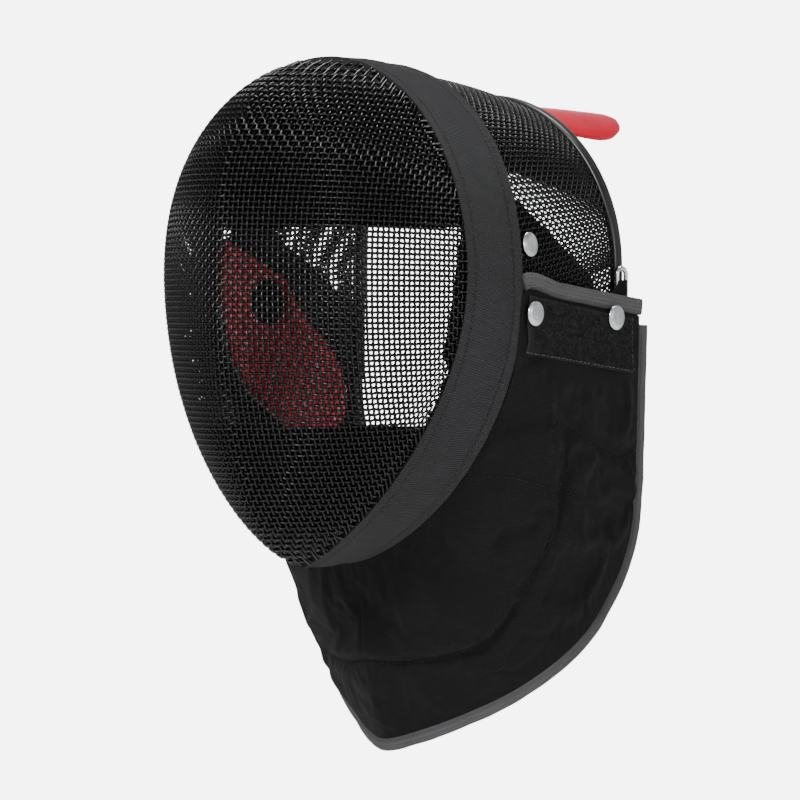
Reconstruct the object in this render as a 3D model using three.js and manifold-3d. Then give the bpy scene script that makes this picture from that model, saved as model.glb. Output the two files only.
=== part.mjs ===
// Fencing mask: creased wire front, wire hood, woven seam band, rear rim, quilted bib and inner pads.
// Millimetres, +Z up, the face looks to -Y and +X is the wearer's left.
// The origin is where the crown of the head sits, under the top of the hood.
import * as THREE from 'three';
import { mergeVertices } from 'three/addons/utils/BufferGeometryUtils.js';
import Module from 'manifold-3d';

const wasm = await Module();
wasm.setup();

// Driving dimensions: where the mask stands round the head
const FACE_AHEAD = 160; // crown of the head to the foremost point of the crease
const SEAT_HEIGHT = 113; // crown of the head above the level of the mouth
const CLEARANCE = 0.35; // gap between pieces that touch

// Wire walls
const WIRE_WALL = 2.2; // two crossing wires
const FRONT_DEPTH = 97; // crease to the edge of the front, at the widest level
const FRONT_WIDTH = 101.6; // half width of the front's edge
const FRONT_LEVEL = 15; // widest level of the front above the mouth
const FRONT_RISE = 122; // widest level to the top
const FRONT_DROP = 164; // widest level to the chin
const CHIN_FORWARD = 23; // how far the front's edge comes forward at the chin
const CREASE_POWER = 1.65; // 2 is a round section, 1 a sharp wedge
const CREASE_SHARPER = 0.25; // how much sharper the crease is at the top

// Seam band and hood
const BAND_REACH = 34.6; // front edge to back edge of the band, front to back
const BAND_WIDTH = 112.7; // half width of the band's back edge
const BAND_RISE = 133; // mouth level to the top of the band's back edge
const BAND_DROP = 146; // mouth level to the bottom of the band's back edge
const BAND_CHIN_FORWARD = 15; // how far the band's back edge comes forward at the chin
const BAND_PROUD = 1.1; // how far the band stands above the wire
const BAND_UNDER = 2.6; // how far the band reaches below the surface
const BAND_CROWN = 0.8; // rise of the band's middle
const HOOD_REACH = 101; // band to the rear edge of the hood
const HOOD_WIDTH = 98; // half width of the hood's rear edge
const HOOD_ARCH_LEVEL = 20; // centre of the rear arch above the mouth
const HOOD_LOW = -45; // lower edge of the hood
const HOOD_SUNK = 2; // the hood's wire lies this far below the band's surface
const HOOD_SWELL = 2; // outward swell of the hood between band and rim

// Rear rim and spring tongue
const RIM_REACH = 7.5;
const RIM_OVER = 0.2; // how far the rim's outer face lies below the arch
const RIM_WALL = 5;
const TONGUE_WIDTH = 31; // half width
const TONGUE_LENGTH = 122;
const TONGUE_WALL = 3.6;
const TONGUE_IN = 10; // how far the tongue reaches in under the hood
const TONGUE_FALL = 5; // drop of its tip below its root
const TONGUE_BEND = 1.6; // 1 falls straight, more bends down towards the tip
const TONGUE_ARCH = 19; // drop of its long edges below its ridge
const TONGUE_ROOT_ARCH = 0.55; // share of the arch at its root
const TONGUE_TIP = 0.42; // share of its length that rounds off to the tip
const TONGUE_TIP_WIDTH = 0.13; // width of the tip as a share of the whole

// Bib
const BIB_WALL = 3.4;
const BIB_LOW = 249; // mouth level to the lowest point
const BIB_REACH = 112; // band to the bib's rear edge
const BIB_TOP_FRONT = 5; // tape height at the band, above the mouth
const BIB_TOP_REAR = -8; // tape height at the rear corner
const BIB_OVER = 1.1; // gap between hood and bib
const BIB_HOOD_MARGIN = 10; // the bib stays outside the hood this far below its lower edge
const BIB_FLARE = 7.5; // how far the rear corner stands off the rim
const BIB_SLOPE = 0.28; // how far the cloth under the chin faces down
const BIB_BULGE = 5; // how far the cloth swells between its top and its hem
const RELIEF_FADE_TOP = [0.16, 0.34]; // shares of the fall between which the swell and the folds begin
const RELIEF_FADE_HEM = 0.12; // share of the fall over which they die out above the hem
const RELIEF_FADE_REAR = 0.08; // share of the way round over which they die out at the rear edges
const SEAM_DEPTH = 1.6;
const SEAM_SPREAD = 0.05; // half width of a sewn channel, as a share of the cloth
const HEM_WIDTH = 6.5;
const HEM_WALL = 4.6;
const HEM_GAP = 0.5; // cloth to the binding, whose path has corners
const TAPE_HEIGHT = 8.6;
const TAPE_WALL = 4.6;
const TAPE_START = 0.008; // share of the bib's top line left free beside the band

// Loop patch, snap caps and strap ring
const PATCH_WALL = 1.4;
const PATCH_LIFT = 0.6; // off the cloth, which bulges between the patch's corners
const PATCH_HEIGHT_FRONT = 33;
const PATCH_HEIGHT_REAR = 31;
const PATCH_FRONT_GAP = 3; // band to the patch
const PATCH_BELOW = 2; // top line of the bib to the patch
const PATCH_REAR_GAP = 9; // patch to the bib's rear edge
const CAP_RADIUS = 7;
const CAP_RISE = 2.4;
const CAP_LIFT = 0.8; // its flat foot clears the curved wall below it
const RING_WIRE = 1.35; // wire radius
const RING_WIDTH = 10.4;
const RING_HEIGHT = 30;
const RING_TOP = 20; // top of the ring above the mouth
const TAB_WALL = 1.4;
const TAB_REACH = 17; // foot of the tab along the tape
const TAB_TOP = 12; // top of the tab above the mouth
const TAB_TAPER = 0.25; // width of the tab's top as a share of its foot

// Inner pads
const FOREHEAD_LOW = 41; // lower edge of the forehead pad above the mouth
const FOREHEAD_TOP = 117;
const FOREHEAD_GAP = 0.8; // wire to the pad, whose faces are longer
const FOREHEAD_WALL = 12;
const FOREHEAD_SPREAD = 1; // share of the front's width that the pad spans
const CHIN_TOP = -70;
const CHIN_LOW = -128;
const CHIN_INSET = 3;
const CHIN_WALL = 9;
const CHIN_SPREAD = 1;
const CHEEK_INSET = 8.2; // outer face of the cheek pad below the band's surface
const CHEEK_WALL = 9;
const CHEEK_REACH = 216; // crease to the rear tip of the pad
const CHEEK_DROP = 80; // mouth level to the pad's lower edge
const LINER_GAP = 0.6; // hood wire to its liners, whose faces are longer
const CROWN_WALL = 5;
const CROWN_FROM = 0.04; // front and rear edge of the crown pad, as shares of the hood's reach
const CROWN_TO = 0.86;
const CROWN_SIDE_FRONT = 54; // degrees from the top to the pad's side edge, at the band and at the rim
const CROWN_SIDE_REAR = 68;
const LINING_WALL = 2.8;
const LINING_FROM = 0.03; // front and rear edge of the side linings, as shares of the hood's reach
const LINING_TO = 0.96;
const LINING_TOP_FRONT = 60; // degrees from the top to the lining's upper edge, at the band and at the rim
const LINING_TOP_REAR = 99;
const LINING_LOW_MARGIN = 1; // degrees left free above the hood's lower edge
const EAR_RADIUS = 14;
const EAR_BACK = 156; // crease to the middle of the ear hole
const EAR_LEVEL = 0;

// Counts that set how fine the faces are
const FRONT_ROWS = 22;
const FRONT_COLS = 22;
const RING_STEPS = 56;
const HOOD_STEPS = 36;
const HOOD_ROWS = 5;
const BIB_STEPS = 20;
const BIB_ROWS = 12;
const TAPE_STEPS = 9;
const TONGUE_ROWS = 11;
const TONGUE_COLS = 10;
const PATCH_ROWS = 5;
const PATCH_COLS = 12;
const CAP_SIDES = 12;
const RING_WIRE_STEPS = 14;
const RING_WIRE_SIDES = 6;
const PAD_ROWS = 7;
const PAD_COLS = 12;
const LINER_ROWS = 4;
const CROWN_COLS = 14;
const LINING_COLS = 6;
const CHEEK_ROWS = 10;
const CHEEK_COLS = 9;
const EAR_SIDES = 16;
const MERGE_REACH = 1e-4;

// Bib stations from chin to rear corner. edge: angle on the band's back edge in degrees, or tape: share of
// the tape behind the band. out, back and down: the hem as shares of band half width, bib reach and depth.
const BIB_STATIONS = [
  { edge: 180, out: 0, back: 0.135, down: 1 },
  { edge: 165, out: 0.16, back: 0.2, down: 0.982 },
  { edge: 151, out: 0.355, back: 0.325, down: 0.944 },
  { edge: 136, out: 0.568, back: 0.455, down: 0.892 },
  { edge: 119, out: 0.745, back: 0.61, down: 0.819 },
  { edge: 105, out: 0.835, back: 0.735, down: 0.751 },
  { tape: 0, out: 0.878, back: 0.842, down: 0.675 },
  { tape: 0.3, out: 0.9, back: 0.925, down: 0.606 },
  { tape: 0.65, out: 0.915, back: 0.985, down: 0.522 },
  { tape: 1, out: 0.93, back: 1, down: 0.402 },
];

// Sewn channels of the quilted cloth, as straight stretches. Around: 0 at the chin, 1 at the rear corner.
// Fall: 0 at the top, 1 at the hem.
const BIB_SEAMS = [
  { fromAround: 0.62, fromFall: 0.36, toAround: 1, toFall: 0.78 },
  { fromAround: 0.66, fromFall: 0.46, toAround: 0.3, toFall: 0.72 },
  { fromAround: 0.3, fromFall: 0.72, toAround: 0, toFall: 0.55 },
  { fromAround: 0.4, fromFall: 0.1, toAround: 0.72, toFall: 0.8 },
];

// Soft folds: where each lies, how wide it is and how far the cloth comes out (or in, below zero).
const BIB_FOLDS = [
  { around: 0.12, fall: 0.22, wide: 0.1, long: 0.16, out: 4 },
  { around: 0.3, fall: 0.28, wide: 0.09, long: 0.2, out: -4 },
  { around: 0.46, fall: 0.3, wide: 0.1, long: 0.2, out: 5 },
  { around: 0.6, fall: 0.62, wide: 0.12, long: 0.2, out: 3.5 },
  { around: 0.84, fall: 0.6, wide: 0.1, long: 0.2, out: -3 },
];

// Cheek pad: front and back edge as shares of its reach, at each level as a share of its drop.
const CHEEK_SECTIONS = [
  { level: 0.45, front: 0.481, back: 0.546 },
  { level: 0.3, front: 0.468, back: 0.704 },
  { level: 0.075, front: 0.458, back: 0.806 },
  { level: -0.175, front: 0.454, back: 0.88 },
  { level: -0.4, front: 0.454, back: 0.972 },
  { level: -0.675, front: 0.537, back: 1 },
  { level: -0.875, front: 0.676, back: 0.972 },
  { level: -1, front: 0.769, back: 0.88 },
];

// Snap caps on each side: distance behind the band as a share of the bib's reach, and height above the mouth
// in cap radii.
const SNAP_CAPS = [
  { name: 'hood', behind: 0.102, high: 4.53, onBib: false },
  { name: 'front', behind: 0.066, high: -1, onBib: true },
  { name: 'rear', behind: 0.7625, high: -1.34, onBib: true },
];

// Small helpers
const radians = THREE.MathUtils.degToRad;
const place = (x, back, level) => new THREE.Vector3(x, back - FACE_AHEAD, level - SEAT_HEIGHT);
const mix = THREE.MathUtils.lerp;
const steps = (count, from, to) => Array.from({ length: count + 1 }, (_, i) => mix(from, to, i / count));
const mirrored = (point) => new THREE.Vector3(-point.x, point.y, point.z);

// Half width of a ring at a share of its height, from -1 at the chin to 1 at the top
function frontShare(height) {
  return height >= 0 ? Math.sqrt(Math.max(0, 1 - height ** 2)) : Math.max(0, 1 - (-height) ** 1.8) ** 0.75;
}

function bandShare(height) {
  if (height >= 0) return Math.max(0, 1 - height ** 2.4) ** (1 / 2.4);
  return Math.max(0, 1 - (-height) ** 1.8) ** 0.6;
}

const edgeBack = (height) => FRONT_DEPTH - (height < 0 ? CHIN_FORWARD * height ** 2 : 0);
const bandBack = (height) => FRONT_DEPTH + BAND_REACH - (height < 0 ? BAND_CHIN_FORWARD * height ** 2 : 0);

// The crease line seen from the side
function creaseBack(height) {
  const bend = height >= 0 ? 0.5 : 0.6;
  return edgeBack(height) * (1 - Math.max(0, 1 - Math.abs(height) ** 3) ** bend);
}

// Front wall: rise from -1 at the chin to 1 at the top, side from -1 to 1, inset for the inner face
function frontPoint(rise, side, inset) {
  const height = Math.sin((rise * Math.PI) / 2);
  const reach = height >= 0 ? FRONT_RISE - inset : FRONT_DROP - inset;
  const width = (FRONT_WIDTH - inset) * frontShare(height);
  const power = CREASE_POWER - (height > 0 ? CREASE_SHARPER * height ** 2 : 0);
  const turn = (Math.abs(side) * Math.PI) / 2;
  const out = Math.sin(turn) ** (2 / power);
  const ahead = Math.max(0, Math.cos(turn)) ** (2 / power);
  const edge = edgeBack(height);
  const depth = (edge - creaseBack(height)) * ((FRONT_DEPTH - inset) / FRONT_DEPTH);
  return place(Math.sign(side) * width * out, edge - depth * ahead, FRONT_LEVEL + reach * height);
}

// Rings round the face: angle 0 at the top, 180 at the chin, negative on the wearer's right
function frontRing(angle, inset) {
  const height = Math.cos(radians(angle));
  const reach = height >= 0 ? FRONT_RISE - inset : FRONT_DROP - inset;
  const x = Math.sign(Math.sin(radians(angle))) * (FRONT_WIDTH - inset) * frontShare(height);
  return place(x, edgeBack(height), FRONT_LEVEL + reach * height);
}

function bandRing(angle, inset) {
  const height = Math.cos(radians(angle));
  const reach = height >= 0 ? BAND_RISE - inset : BAND_DROP - inset;
  const x = Math.sign(Math.sin(radians(angle))) * (BAND_WIDTH - inset) * bandShare(height);
  return place(x, bandBack(height), reach * height);
}

// Rear arch of the hood: half a circle with straight legs
const hoodLimit = THREE.MathUtils.radToDeg(Math.acos(HOOD_LOW / BAND_DROP));
function rearRing(angle, inset) {
  const turn = radians(Math.abs(angle));
  const legs = (HOOD_ARCH_LEVEL - HOOD_LOW) / Math.cos(radians(hoodLimit));
  const high = Math.cos(turn);
  const level = high >= 0 ? (HOOD_WIDTH - inset) * high : -high * legs;
  const out = high >= 0 ? Math.sin(turn) : 1;
  return place(Math.sign(angle) * (HOOD_WIDTH - inset) * out,
    FRONT_DEPTH + BAND_REACH + HOOD_REACH, HOOD_ARCH_LEVEL + level);
}

function hoodPoint(angle, along, inset) {
  const swell = HOOD_SWELL * Math.sin(Math.PI * along);
  return bandRing(angle, inset - swell).lerp(rearRing(angle, inset - swell), along);
}

// Half width of the wire wall at a place, given by its distance behind the crease and its level
function wallHalfWidth(back, level, inset) {
  const high = level - FRONT_LEVEL;
  const frontHeight = THREE.MathUtils.clamp(high / (high > 0 ? FRONT_RISE - inset : FRONT_DROP - inset), -1, 1);
  const bandHeight = THREE.MathUtils.clamp(level / (level > 0 ? BAND_RISE - inset : BAND_DROP - inset), -1, 1);
  const edge = edgeBack(frontHeight);
  const bandEdge = bandBack(bandHeight);
  const rearHigh = Math.max(0, level - HOOD_ARCH_LEVEL) / (HOOD_WIDTH - inset);
  const front = (FRONT_WIDTH - inset) * frontShare(frontHeight);
  const band = (BAND_WIDTH - inset) * bandShare(bandHeight);
  const rear = (HOOD_WIDTH - inset) * Math.sqrt(Math.max(0, 1 - rearHigh ** 2));
  if (back < edge) {
    const ahead = Math.min(1, (edge - back) / Math.max(1, edge - creaseBack(frontHeight) - inset));
    return front * Math.max(0, 1 - ahead ** CREASE_POWER) ** (1 / CREASE_POWER);
  }
  if (back < bandEdge) return mix(front, band, (back - edge) / (bandEdge - edge));
  const along = Math.min(1.2, (back - bandEdge) / HOOD_REACH);
  const swell = along < 1 && level > HOOD_LOW ? HOOD_SWELL * Math.sin(Math.PI * along) : 0;
  return mix(band, rear, along) + swell;
}

// A closed body from loose triangles: equal corners are joined, and the faces are turned to point out
function closedBody(corners) {
  const loose = new THREE.BufferGeometry();
  loose.setAttribute('position', new THREE.Float32BufferAttribute(corners.flatMap((p) => [p.x, p.y, p.z]), 3));
  const body = mergeVertices(loose, MERGE_REACH);
  const points = body.getAttribute('position');
  const kept = [];
  let volume = 0;
  const [a, b, c] = [new THREE.Vector3(), new THREE.Vector3(), new THREE.Vector3()];
  for (let i = 0; i < body.index.count; i += 3) {
    const [ia, ib, ic] = [0, 1, 2].map((k) => body.index.getX(i + k));
    if (ia === ib || ib === ic || ic === ia) continue;
    kept.push(ia, ib, ic);
    a.fromBufferAttribute(points, ia);
    b.fromBufferAttribute(points, ib);
    c.fromBufferAttribute(points, ic);
    volume += a.dot(b.cross(c));
  }
  if (volume < 0) kept.reverse();
  body.setIndex(kept);
  body.computeVertexNormals();
  return body;
}

// A wall between two skins, each a grid of points, with its borders closed. A grid may close on itself.
function wall(outer, inner, joined = false) {
  const corners = [];
  const quad = (a, b, c, d) => corners.push(a, b, c, a, c, d);
  const rows = outer.length - 1;
  const cols = outer[0].length - 1;
  for (let r = 0; r < rows; r += 1) {
    for (let c = 0; c < cols; c += 1) {
      quad(outer[r][c], outer[r][c + 1], outer[r + 1][c + 1], outer[r + 1][c]);
      quad(inner[r][c], inner[r + 1][c], inner[r + 1][c + 1], inner[r][c + 1]);
    }
  }
  for (let c = 0; c < cols; c += 1) {
    quad(outer[0][c], inner[0][c], inner[0][c + 1], outer[0][c + 1]);
    quad(outer[rows][c + 1], inner[rows][c + 1], inner[rows][c], outer[rows][c]);
  }
  for (let r = 0; r < rows && !joined; r += 1) {
    quad(outer[r + 1][0], inner[r + 1][0], inner[r][0], outer[r][0]);
    quad(outer[r][cols], inner[r][cols], inner[r + 1][cols], outer[r + 1][cols]);
  }
  return closedBody(corners);
}

const grid = (rows, cols, point) => rows.map((row) => cols.map((col) => point(row, col)));

// A bar through a row of frames, each with a place and two directions, and a section of pairs
function sweep(frames, section, closed = false) {
  const rings = frames.map(({ at, across, up }) => section.map(([a, b]) => (
    at.clone().addScaledVector(across, a).addScaledVector(up, b))));
  if (closed) rings.push(rings[0]);
  const corners = [];
  for (let i = 0; i < rings.length - 1; i += 1) {
    for (let k = 0; k < section.length; k += 1) {
      const next = (k + 1) % section.length;
      const [a, b, c, d] = [rings[i][k], rings[i][next], rings[i + 1][next], rings[i + 1][k]];
      corners.push(a, b, c, a, c, d);
    }
  }
  const first = rings[0];
  const last = rings[rings.length - 1];
  for (let k = 1; k < section.length - 1 && !closed; k += 1) {
    corners.push(first[0], first[k + 1], first[k], last[0], last[k], last[k + 1]);
  }
  return closedBody(corners);
}

// A flat bar section with rounded long edges, from 0 to width across and from 0 to wall up
function tapeSection(width, height) {
  const round = Math.min(width, height) * 0.3;
  return [[0, 0], [width, 0], [width, height - round], [width - round, height], [round, height],
    [0, height - round]];
}

function roundSection(radius, sides) {
  return steps(sides, 0, 2 * Math.PI).slice(0, sides).map((t) => [radius * Math.cos(t), radius * Math.sin(t)]);
}

function solidOf(geometry) {
  const plain = geometry.clone();
  plain.deleteAttribute('normal');
  plain.deleteAttribute('uv');
  const merged = mergeVertices(plain, MERGE_REACH);
  return new wasm.Manifold(new wasm.Mesh({
    numProp: 3,
    vertProperties: new Float32Array(merged.getAttribute('position').array),
    triVerts: new Uint32Array(merged.index.array),
  }));
}

function geometryOf(solid) {
  const mesh = solid.getMesh();
  const geometry = new THREE.BufferGeometry();
  geometry.setAttribute('position', new THREE.BufferAttribute(new Float32Array(mesh.vertProperties), 3));
  geometry.setIndex(new THREE.BufferAttribute(new Uint32Array(mesh.triVerts), 1));
  geometry.computeVertexNormals();
  return geometry;
}

// Materials
const material = (color, roughness, metalness = 0) => (
  new THREE.MeshStandardMaterial({ color, roughness, metalness, side: THREE.DoubleSide }));
const blackWire = () => material(0x17181a, 0.45, 0.7);
const bandCloth = () => material(0x1d1e20, 0.9);
const rimPlastic = () => material(0x141416, 0.35);
const bibCloth = () => material(0x18181a, 0.95);
const tapeCloth = () => material(0x3a3b3d, 0.9);
const loopCloth = () => material(0x0d0d0e, 1);
const silver = () => material(0xd4d6da, 0.25, 1);
const redVinyl = () => material(0xd4002a, 0.3);
const redCloth = () => material(0xb3152c, 0.85);
const blackPad = () => material(0x0e0e10, 0.95);

const mask = new THREE.Group();
function add(name, geometry, finish) {
  const mesh = new THREE.Mesh(geometry, finish);
  mesh.name = name;
  mask.add(mesh);
  return mesh;
}

// Both sides of a piece: the wearer's left is made, and the right is its mirror image
function addPair(name, geometry, finish) {
  add(`${name}_left`, geometry, finish());
  const other = geometry.index ? geometry.toNonIndexed() : geometry.clone();
  const points = other.getAttribute('position');
  const corners = Array.from({ length: points.count }, (_, i) => (
    mirrored(new THREE.Vector3().fromBufferAttribute(points, i))));
  add(`${name}_right`, closedBody(corners), finish());
}

// Front mesh: creased oval wall of crossed wires
function makeFrontMesh() {
  const rows = steps(FRONT_ROWS, -1, 1);
  const cols = steps(FRONT_COLS, -1, 1);
  const skin = (inset) => grid(rows, cols, (rise, side) => frontPoint(rise, side, inset));
  add('front_mesh', wall(skin(0), skin(WIRE_WALL)), blackWire());
}

// Seam band: woven tape round the edge where the front meets the hood
function makeSeamBand() {
  const angles = steps(RING_STEPS, 0, 360);
  const skin = (inset, crown) => grid([0, 0.5, 1], angles, (along, angle) => {
    const rise = crown * Math.sin(Math.PI * along);
    const point = frontRing(angle, inset - rise).lerp(bandRing(angle, inset - rise), along);
    point.y += CLEARANCE * (1 - along);
    return point;
  });
  add('seam_band', wall(skin(-BAND_PROUD, BAND_CROWN), skin(BAND_UNDER, 0), true), bandCloth());
}

// Hood: wire wall over the top and both sides, open below and behind
function makeHood() {
  const angles = steps(HOOD_STEPS, -hoodLimit, hoodLimit);
  const skin = (inset) => grid(steps(HOOD_ROWS, 0, 1), angles, (along, angle) => {
    const point = hoodPoint(angle, along, inset);
    point.y += CLEARANCE * (1 - along);
    return point;
  });
  add('hood_mesh', wall(skin(HOOD_SUNK), skin(HOOD_SUNK + WIRE_WALL)), blackWire());
}

// Rear rim: moulded edging along the hood's rear edge
function makeRearRim() {
  const angles = steps(HOOD_STEPS, -hoodLimit, hoodLimit);
  const skin = (inset, round) => grid([0, 0.5, 1], angles, (along, angle) => {
    const point = rearRing(angle, inset + round * (1 - Math.sin(Math.PI * along)));
    point.y += CLEARANCE + RIM_REACH * along;
    return point;
  });
  add('rear_rim', wall(skin(RIM_OVER, 1), skin(RIM_OVER + RIM_WALL, -1)), rimPlastic());
}

// Spring tongue: covered strip that springs back from under the top of the hood
const tongueRoot = HOOD_ARCH_LEVEL + HOOD_WIDTH - RIM_OVER - RIM_WALL - CLEARANCE;
const tongueSeat = (TONGUE_IN + RIM_REACH) / TONGUE_LENGTH;
function tonguePoint(along, side, depth) {
  const tip = Math.sqrt(Math.max(0, 1 - Math.max(0, (along - 1 + TONGUE_TIP) / TONGUE_TIP) ** 2));
  const half = TONGUE_WIDTH * Math.max(TONGUE_TIP_WIDTH, tip);
  const arch = TONGUE_ARCH * (side * (half / TONGUE_WIDTH)) ** 2 * mix(TONGUE_ROOT_ARCH, 1, along);
  const back = FRONT_DEPTH + BAND_REACH + HOOD_REACH - TONGUE_IN + TONGUE_LENGTH * along;
  const fall = Math.max(0, (along - tongueSeat) / (1 - tongueSeat)) ** TONGUE_BEND;
  return place(side * half, back, tongueRoot - TONGUE_FALL * fall - arch - depth);
}

function makeTongue() {
  const rows = steps(TONGUE_ROWS, 0, 1).map((share) => Math.sin((share * Math.PI) / 2) ** 1.2);
  const cols = steps(TONGUE_COLS, -1, 1);
  const skin = (depth) => grid(rows, cols, (along, side) => tonguePoint(along, side, depth));
  add('spring_tongue', wall(skin(0), skin(TONGUE_WALL)), redVinyl());
}

// Bib: quilted cloth that hangs from the band and the tapes, open behind
const bibRearBack = FRONT_DEPTH + BAND_REACH + BIB_REACH;
const tapeBack = (share) => mix(FRONT_DEPTH + BAND_REACH + 2 * CLEARANCE, bibRearBack, share);
const tapeLevel = (share) => mix(BIB_TOP_FRONT, BIB_TOP_REAR, share);

function bibTop({ edge, tape }) {
  if (edge !== undefined) {
    const besideHood = BAND_DROP * Math.cos(radians(edge)) > HOOD_LOW - BIB_HOOD_MARGIN;
    return bandRing(edge, besideHood ? HOOD_SUNK - BIB_OVER - BIB_WALL : 0);
  }
  const [back, level] = [tapeBack(tape), tapeLevel(tape)];
  const over = wallHalfWidth(Math.min(back, FRONT_DEPTH + BAND_REACH + HOOD_REACH), level, HOOD_SUNK);
  return place(over + BIB_OVER + BIB_WALL + BIB_FLARE * tape ** 2, back, level);
}

const bibHem = ({ out, back, down }) => (
  place(out * BAND_WIDTH, FRONT_DEPTH + BAND_REACH + back * BIB_REACH, -down * BIB_LOW));

const wholeRound = (points) => [...points.slice(1).reverse().map(mirrored), ...points];
const bibTopLine = new THREE.CatmullRomCurve3(wholeRound(BIB_STATIONS.map(bibTop)), false, 'centripetal');
const bibHemLine = new THREE.CatmullRomCurve3(wholeRound(BIB_STATIONS.map(bibHem)), false, 'centripetal');

// Distance of a place on the cloth from a sewn channel
function seamDistance(around, fall, seam) {
  const run = new THREE.Vector2(seam.toAround - seam.fromAround, seam.toFall - seam.fromFall);
  const here = new THREE.Vector2(around - seam.fromAround, fall - seam.fromFall);
  const share = THREE.MathUtils.clamp(here.dot(run) / run.lengthSq(), 0, 1);
  return here.addScaledVector(run, -share).length();
}

function bibRelief(around, fall) {
  const side = Math.abs(around);
  const [topFrom, topTo] = RELIEF_FADE_TOP;
  const edgeFade = THREE.MathUtils.smoothstep(fall, topFrom, topTo)
    * THREE.MathUtils.smoothstep(1 - fall, 0, RELIEF_FADE_HEM)
    * THREE.MathUtils.smoothstep(1 - side, 0, RELIEF_FADE_REAR);
  let relief = BIB_BULGE * Math.sin(Math.PI * fall);
  for (const fold of BIB_FOLDS) {
    relief += fold.out * Math.exp(-(((side - fold.around) / fold.wide) ** 2)
      - ((fall - fold.fall) / fold.long) ** 2);
  }
  for (const seam of BIB_SEAMS) {
    relief -= SEAM_DEPTH * Math.exp(-((seamDistance(side, fall, seam) / SEAM_SPREAD) ** 2));
  }
  return relief * edgeFade;
}

// The way out of the cloth: sideways at the rear corners, forward and a little down at the chin
const bibAxis = place(0, FRONT_DEPTH + BAND_REACH + BIB_REACH * 0.6, 0);
function bibOutward(point, around) {
  const toChin = 1 - Math.abs(around);
  const ahead = (point.y - bibAxis.y) * toChin;
  return new THREE.Vector3(point.x, ahead, BIB_SLOPE * ahead).normalize();
}

// Cloth between the top line and the hem line, with its relief standing out
function bibPoint(around, fall) {
  const t = (around + 1) / 2;
  const point = bibTopLine.getPoint(t).lerp(bibHemLine.getPoint(t), fall);
  return point.addScaledVector(bibOutward(point, around), bibRelief(around, fall));
}

const bibSides = steps(2 * BIB_STEPS, -1, 1);
const bibFalls = steps(BIB_ROWS, 0, 1);
const bibOuter = grid(bibFalls, bibSides, (fall, around) => bibPoint(around, fall));
const bibInner = bibOuter.map((row) => row.map((point, c) => (
  point.clone().addScaledVector(bibOutward(point, bibSides[c]), -BIB_WALL))));

// The room that the seam band takes out of the cloth behind it
function bandRoom() {
  const angles = steps(RING_STEPS, 0, 360);
  const skin = (inset) => grid([0, 1], angles, (along, angle) => {
    const point = frontRing(angle, inset).lerp(bandRing(angle, inset), along);
    point.y += CLEARANCE * along;
    return point;
  });
  return wall(skin(-BAND_PROUD - BIB_BULGE), skin(2 * BAND_UNDER + BIB_WALL), true);
}

function makeBib() {
  const cloth = wall(bibOuter, bibInner);
  return add('bib', geometryOf(solidOf(cloth).subtract(solidOf(bandRoom()))), bibCloth());
}

// Binding: folded tape sewn round the rear edges and the hem
function makeBinding() {
  const last = bibOuter.length - 1;
  const end = bibSides.length - 1;
  const path = [];
  for (let r = 1; r <= last; r += 1) path.push([r, 0]);
  for (let c = 1; c < end; c += 1) path.push([last, c]);
  for (let r = last; r >= 1; r -= 1) path.push([r, end]);
  const frames = path.map(([r, c], i) => {
    const [rowBefore, colBefore] = path[Math.max(i - 1, 0)];
    const [rowAfter, colAfter] = path[Math.min(i + 1, path.length - 1)];
    const run = bibOuter[rowAfter][colAfter].clone().sub(bibOuter[rowBefore][colBefore]).normalize();
    const up = bibOutward(bibOuter[r][c], bibSides[c]);
    up.addScaledVector(run, -up.dot(run)).normalize();
    const across = new THREE.Vector3().crossVectors(run, up).normalize();
    up.crossVectors(across, run);
    return { at: bibOuter[r][c].clone().addScaledVector(across, HEM_GAP), across, up };
  });
  const section = tapeSection(HEM_WIDTH, HEM_WALL).map(([a, b]) => [a, b - (HEM_WALL + BIB_WALL) / 2]);
  add('bib_binding', sweep(frames, section), tapeCloth());
}

// Top tape: stitched tape on the upper edge of each side of the bib
function makeTopTapes() {
  const tapeFrom = 0.5 + BIB_STATIONS.findIndex(({ tape }) => tape === 0) / (2 * (BIB_STATIONS.length - 1));
  const points = steps(TAPE_STEPS, tapeFrom + TAPE_START, 1).map((t) => bibTopLine.getPoint(t));
  const frames = points.map((point, i) => {
    const tangent = points[Math.min(i + 1, TAPE_STEPS)].clone().sub(points[Math.max(i - 1, 0)]).normalize();
    const up = new THREE.Vector3(1, 0, 0).addScaledVector(tangent, -tangent.x).normalize();
    const across = new THREE.Vector3().crossVectors(up, tangent).normalize();
    if (across.z < 0) across.negate();
    return { at: point.clone().addScaledVector(across, 2 * CLEARANCE), across, up };
  });
  const section = tapeSection(TAPE_HEIGHT, TAPE_WALL).map(([a, b]) => [a, b - BIB_WALL]);
  addPair('bib_tape', sweep(frames, section), tapeCloth);
}

// The bib's outer face beside a place on the wearer's left
function bibFace(bib, back, level) {
  const from = place(0, back, level);
  from.x = 3 * BAND_WIDTH;
  const hit = new THREE.Raycaster(from, new THREE.Vector3(-1, 0, 0)).intersectObject(bib)[0];
  return hit ? hit.point.x : wallHalfWidth(back, level, 0);
}

// Loop patch: fuzzy half of the hook-and-loop fastening, under each tape
function makeLoopPatches(bib) {
  bib.updateMatrixWorld(true);
  const [rows, cols] = [steps(PATCH_ROWS, 0, 1), steps(PATCH_COLS, 0, 1)];
  const skin = (lift) => grid(rows, cols, (fall, share) => {
    const back = mix(tapeBack(0) + PATCH_FRONT_GAP, bibRearBack - PATCH_REAR_GAP, share);
    const top = tapeLevel(share) - PATCH_BELOW;
    const level = mix(top, top - mix(PATCH_HEIGHT_FRONT, PATCH_HEIGHT_REAR, share), fall);
    const point = place(0, back, level);
    point.x = bibFace(bib, back, level) + lift;
    return point;
  });
  addPair('loop_patch', wall(skin(PATCH_LIFT + PATCH_WALL), skin(PATCH_LIFT)), loopCloth);
}

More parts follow.
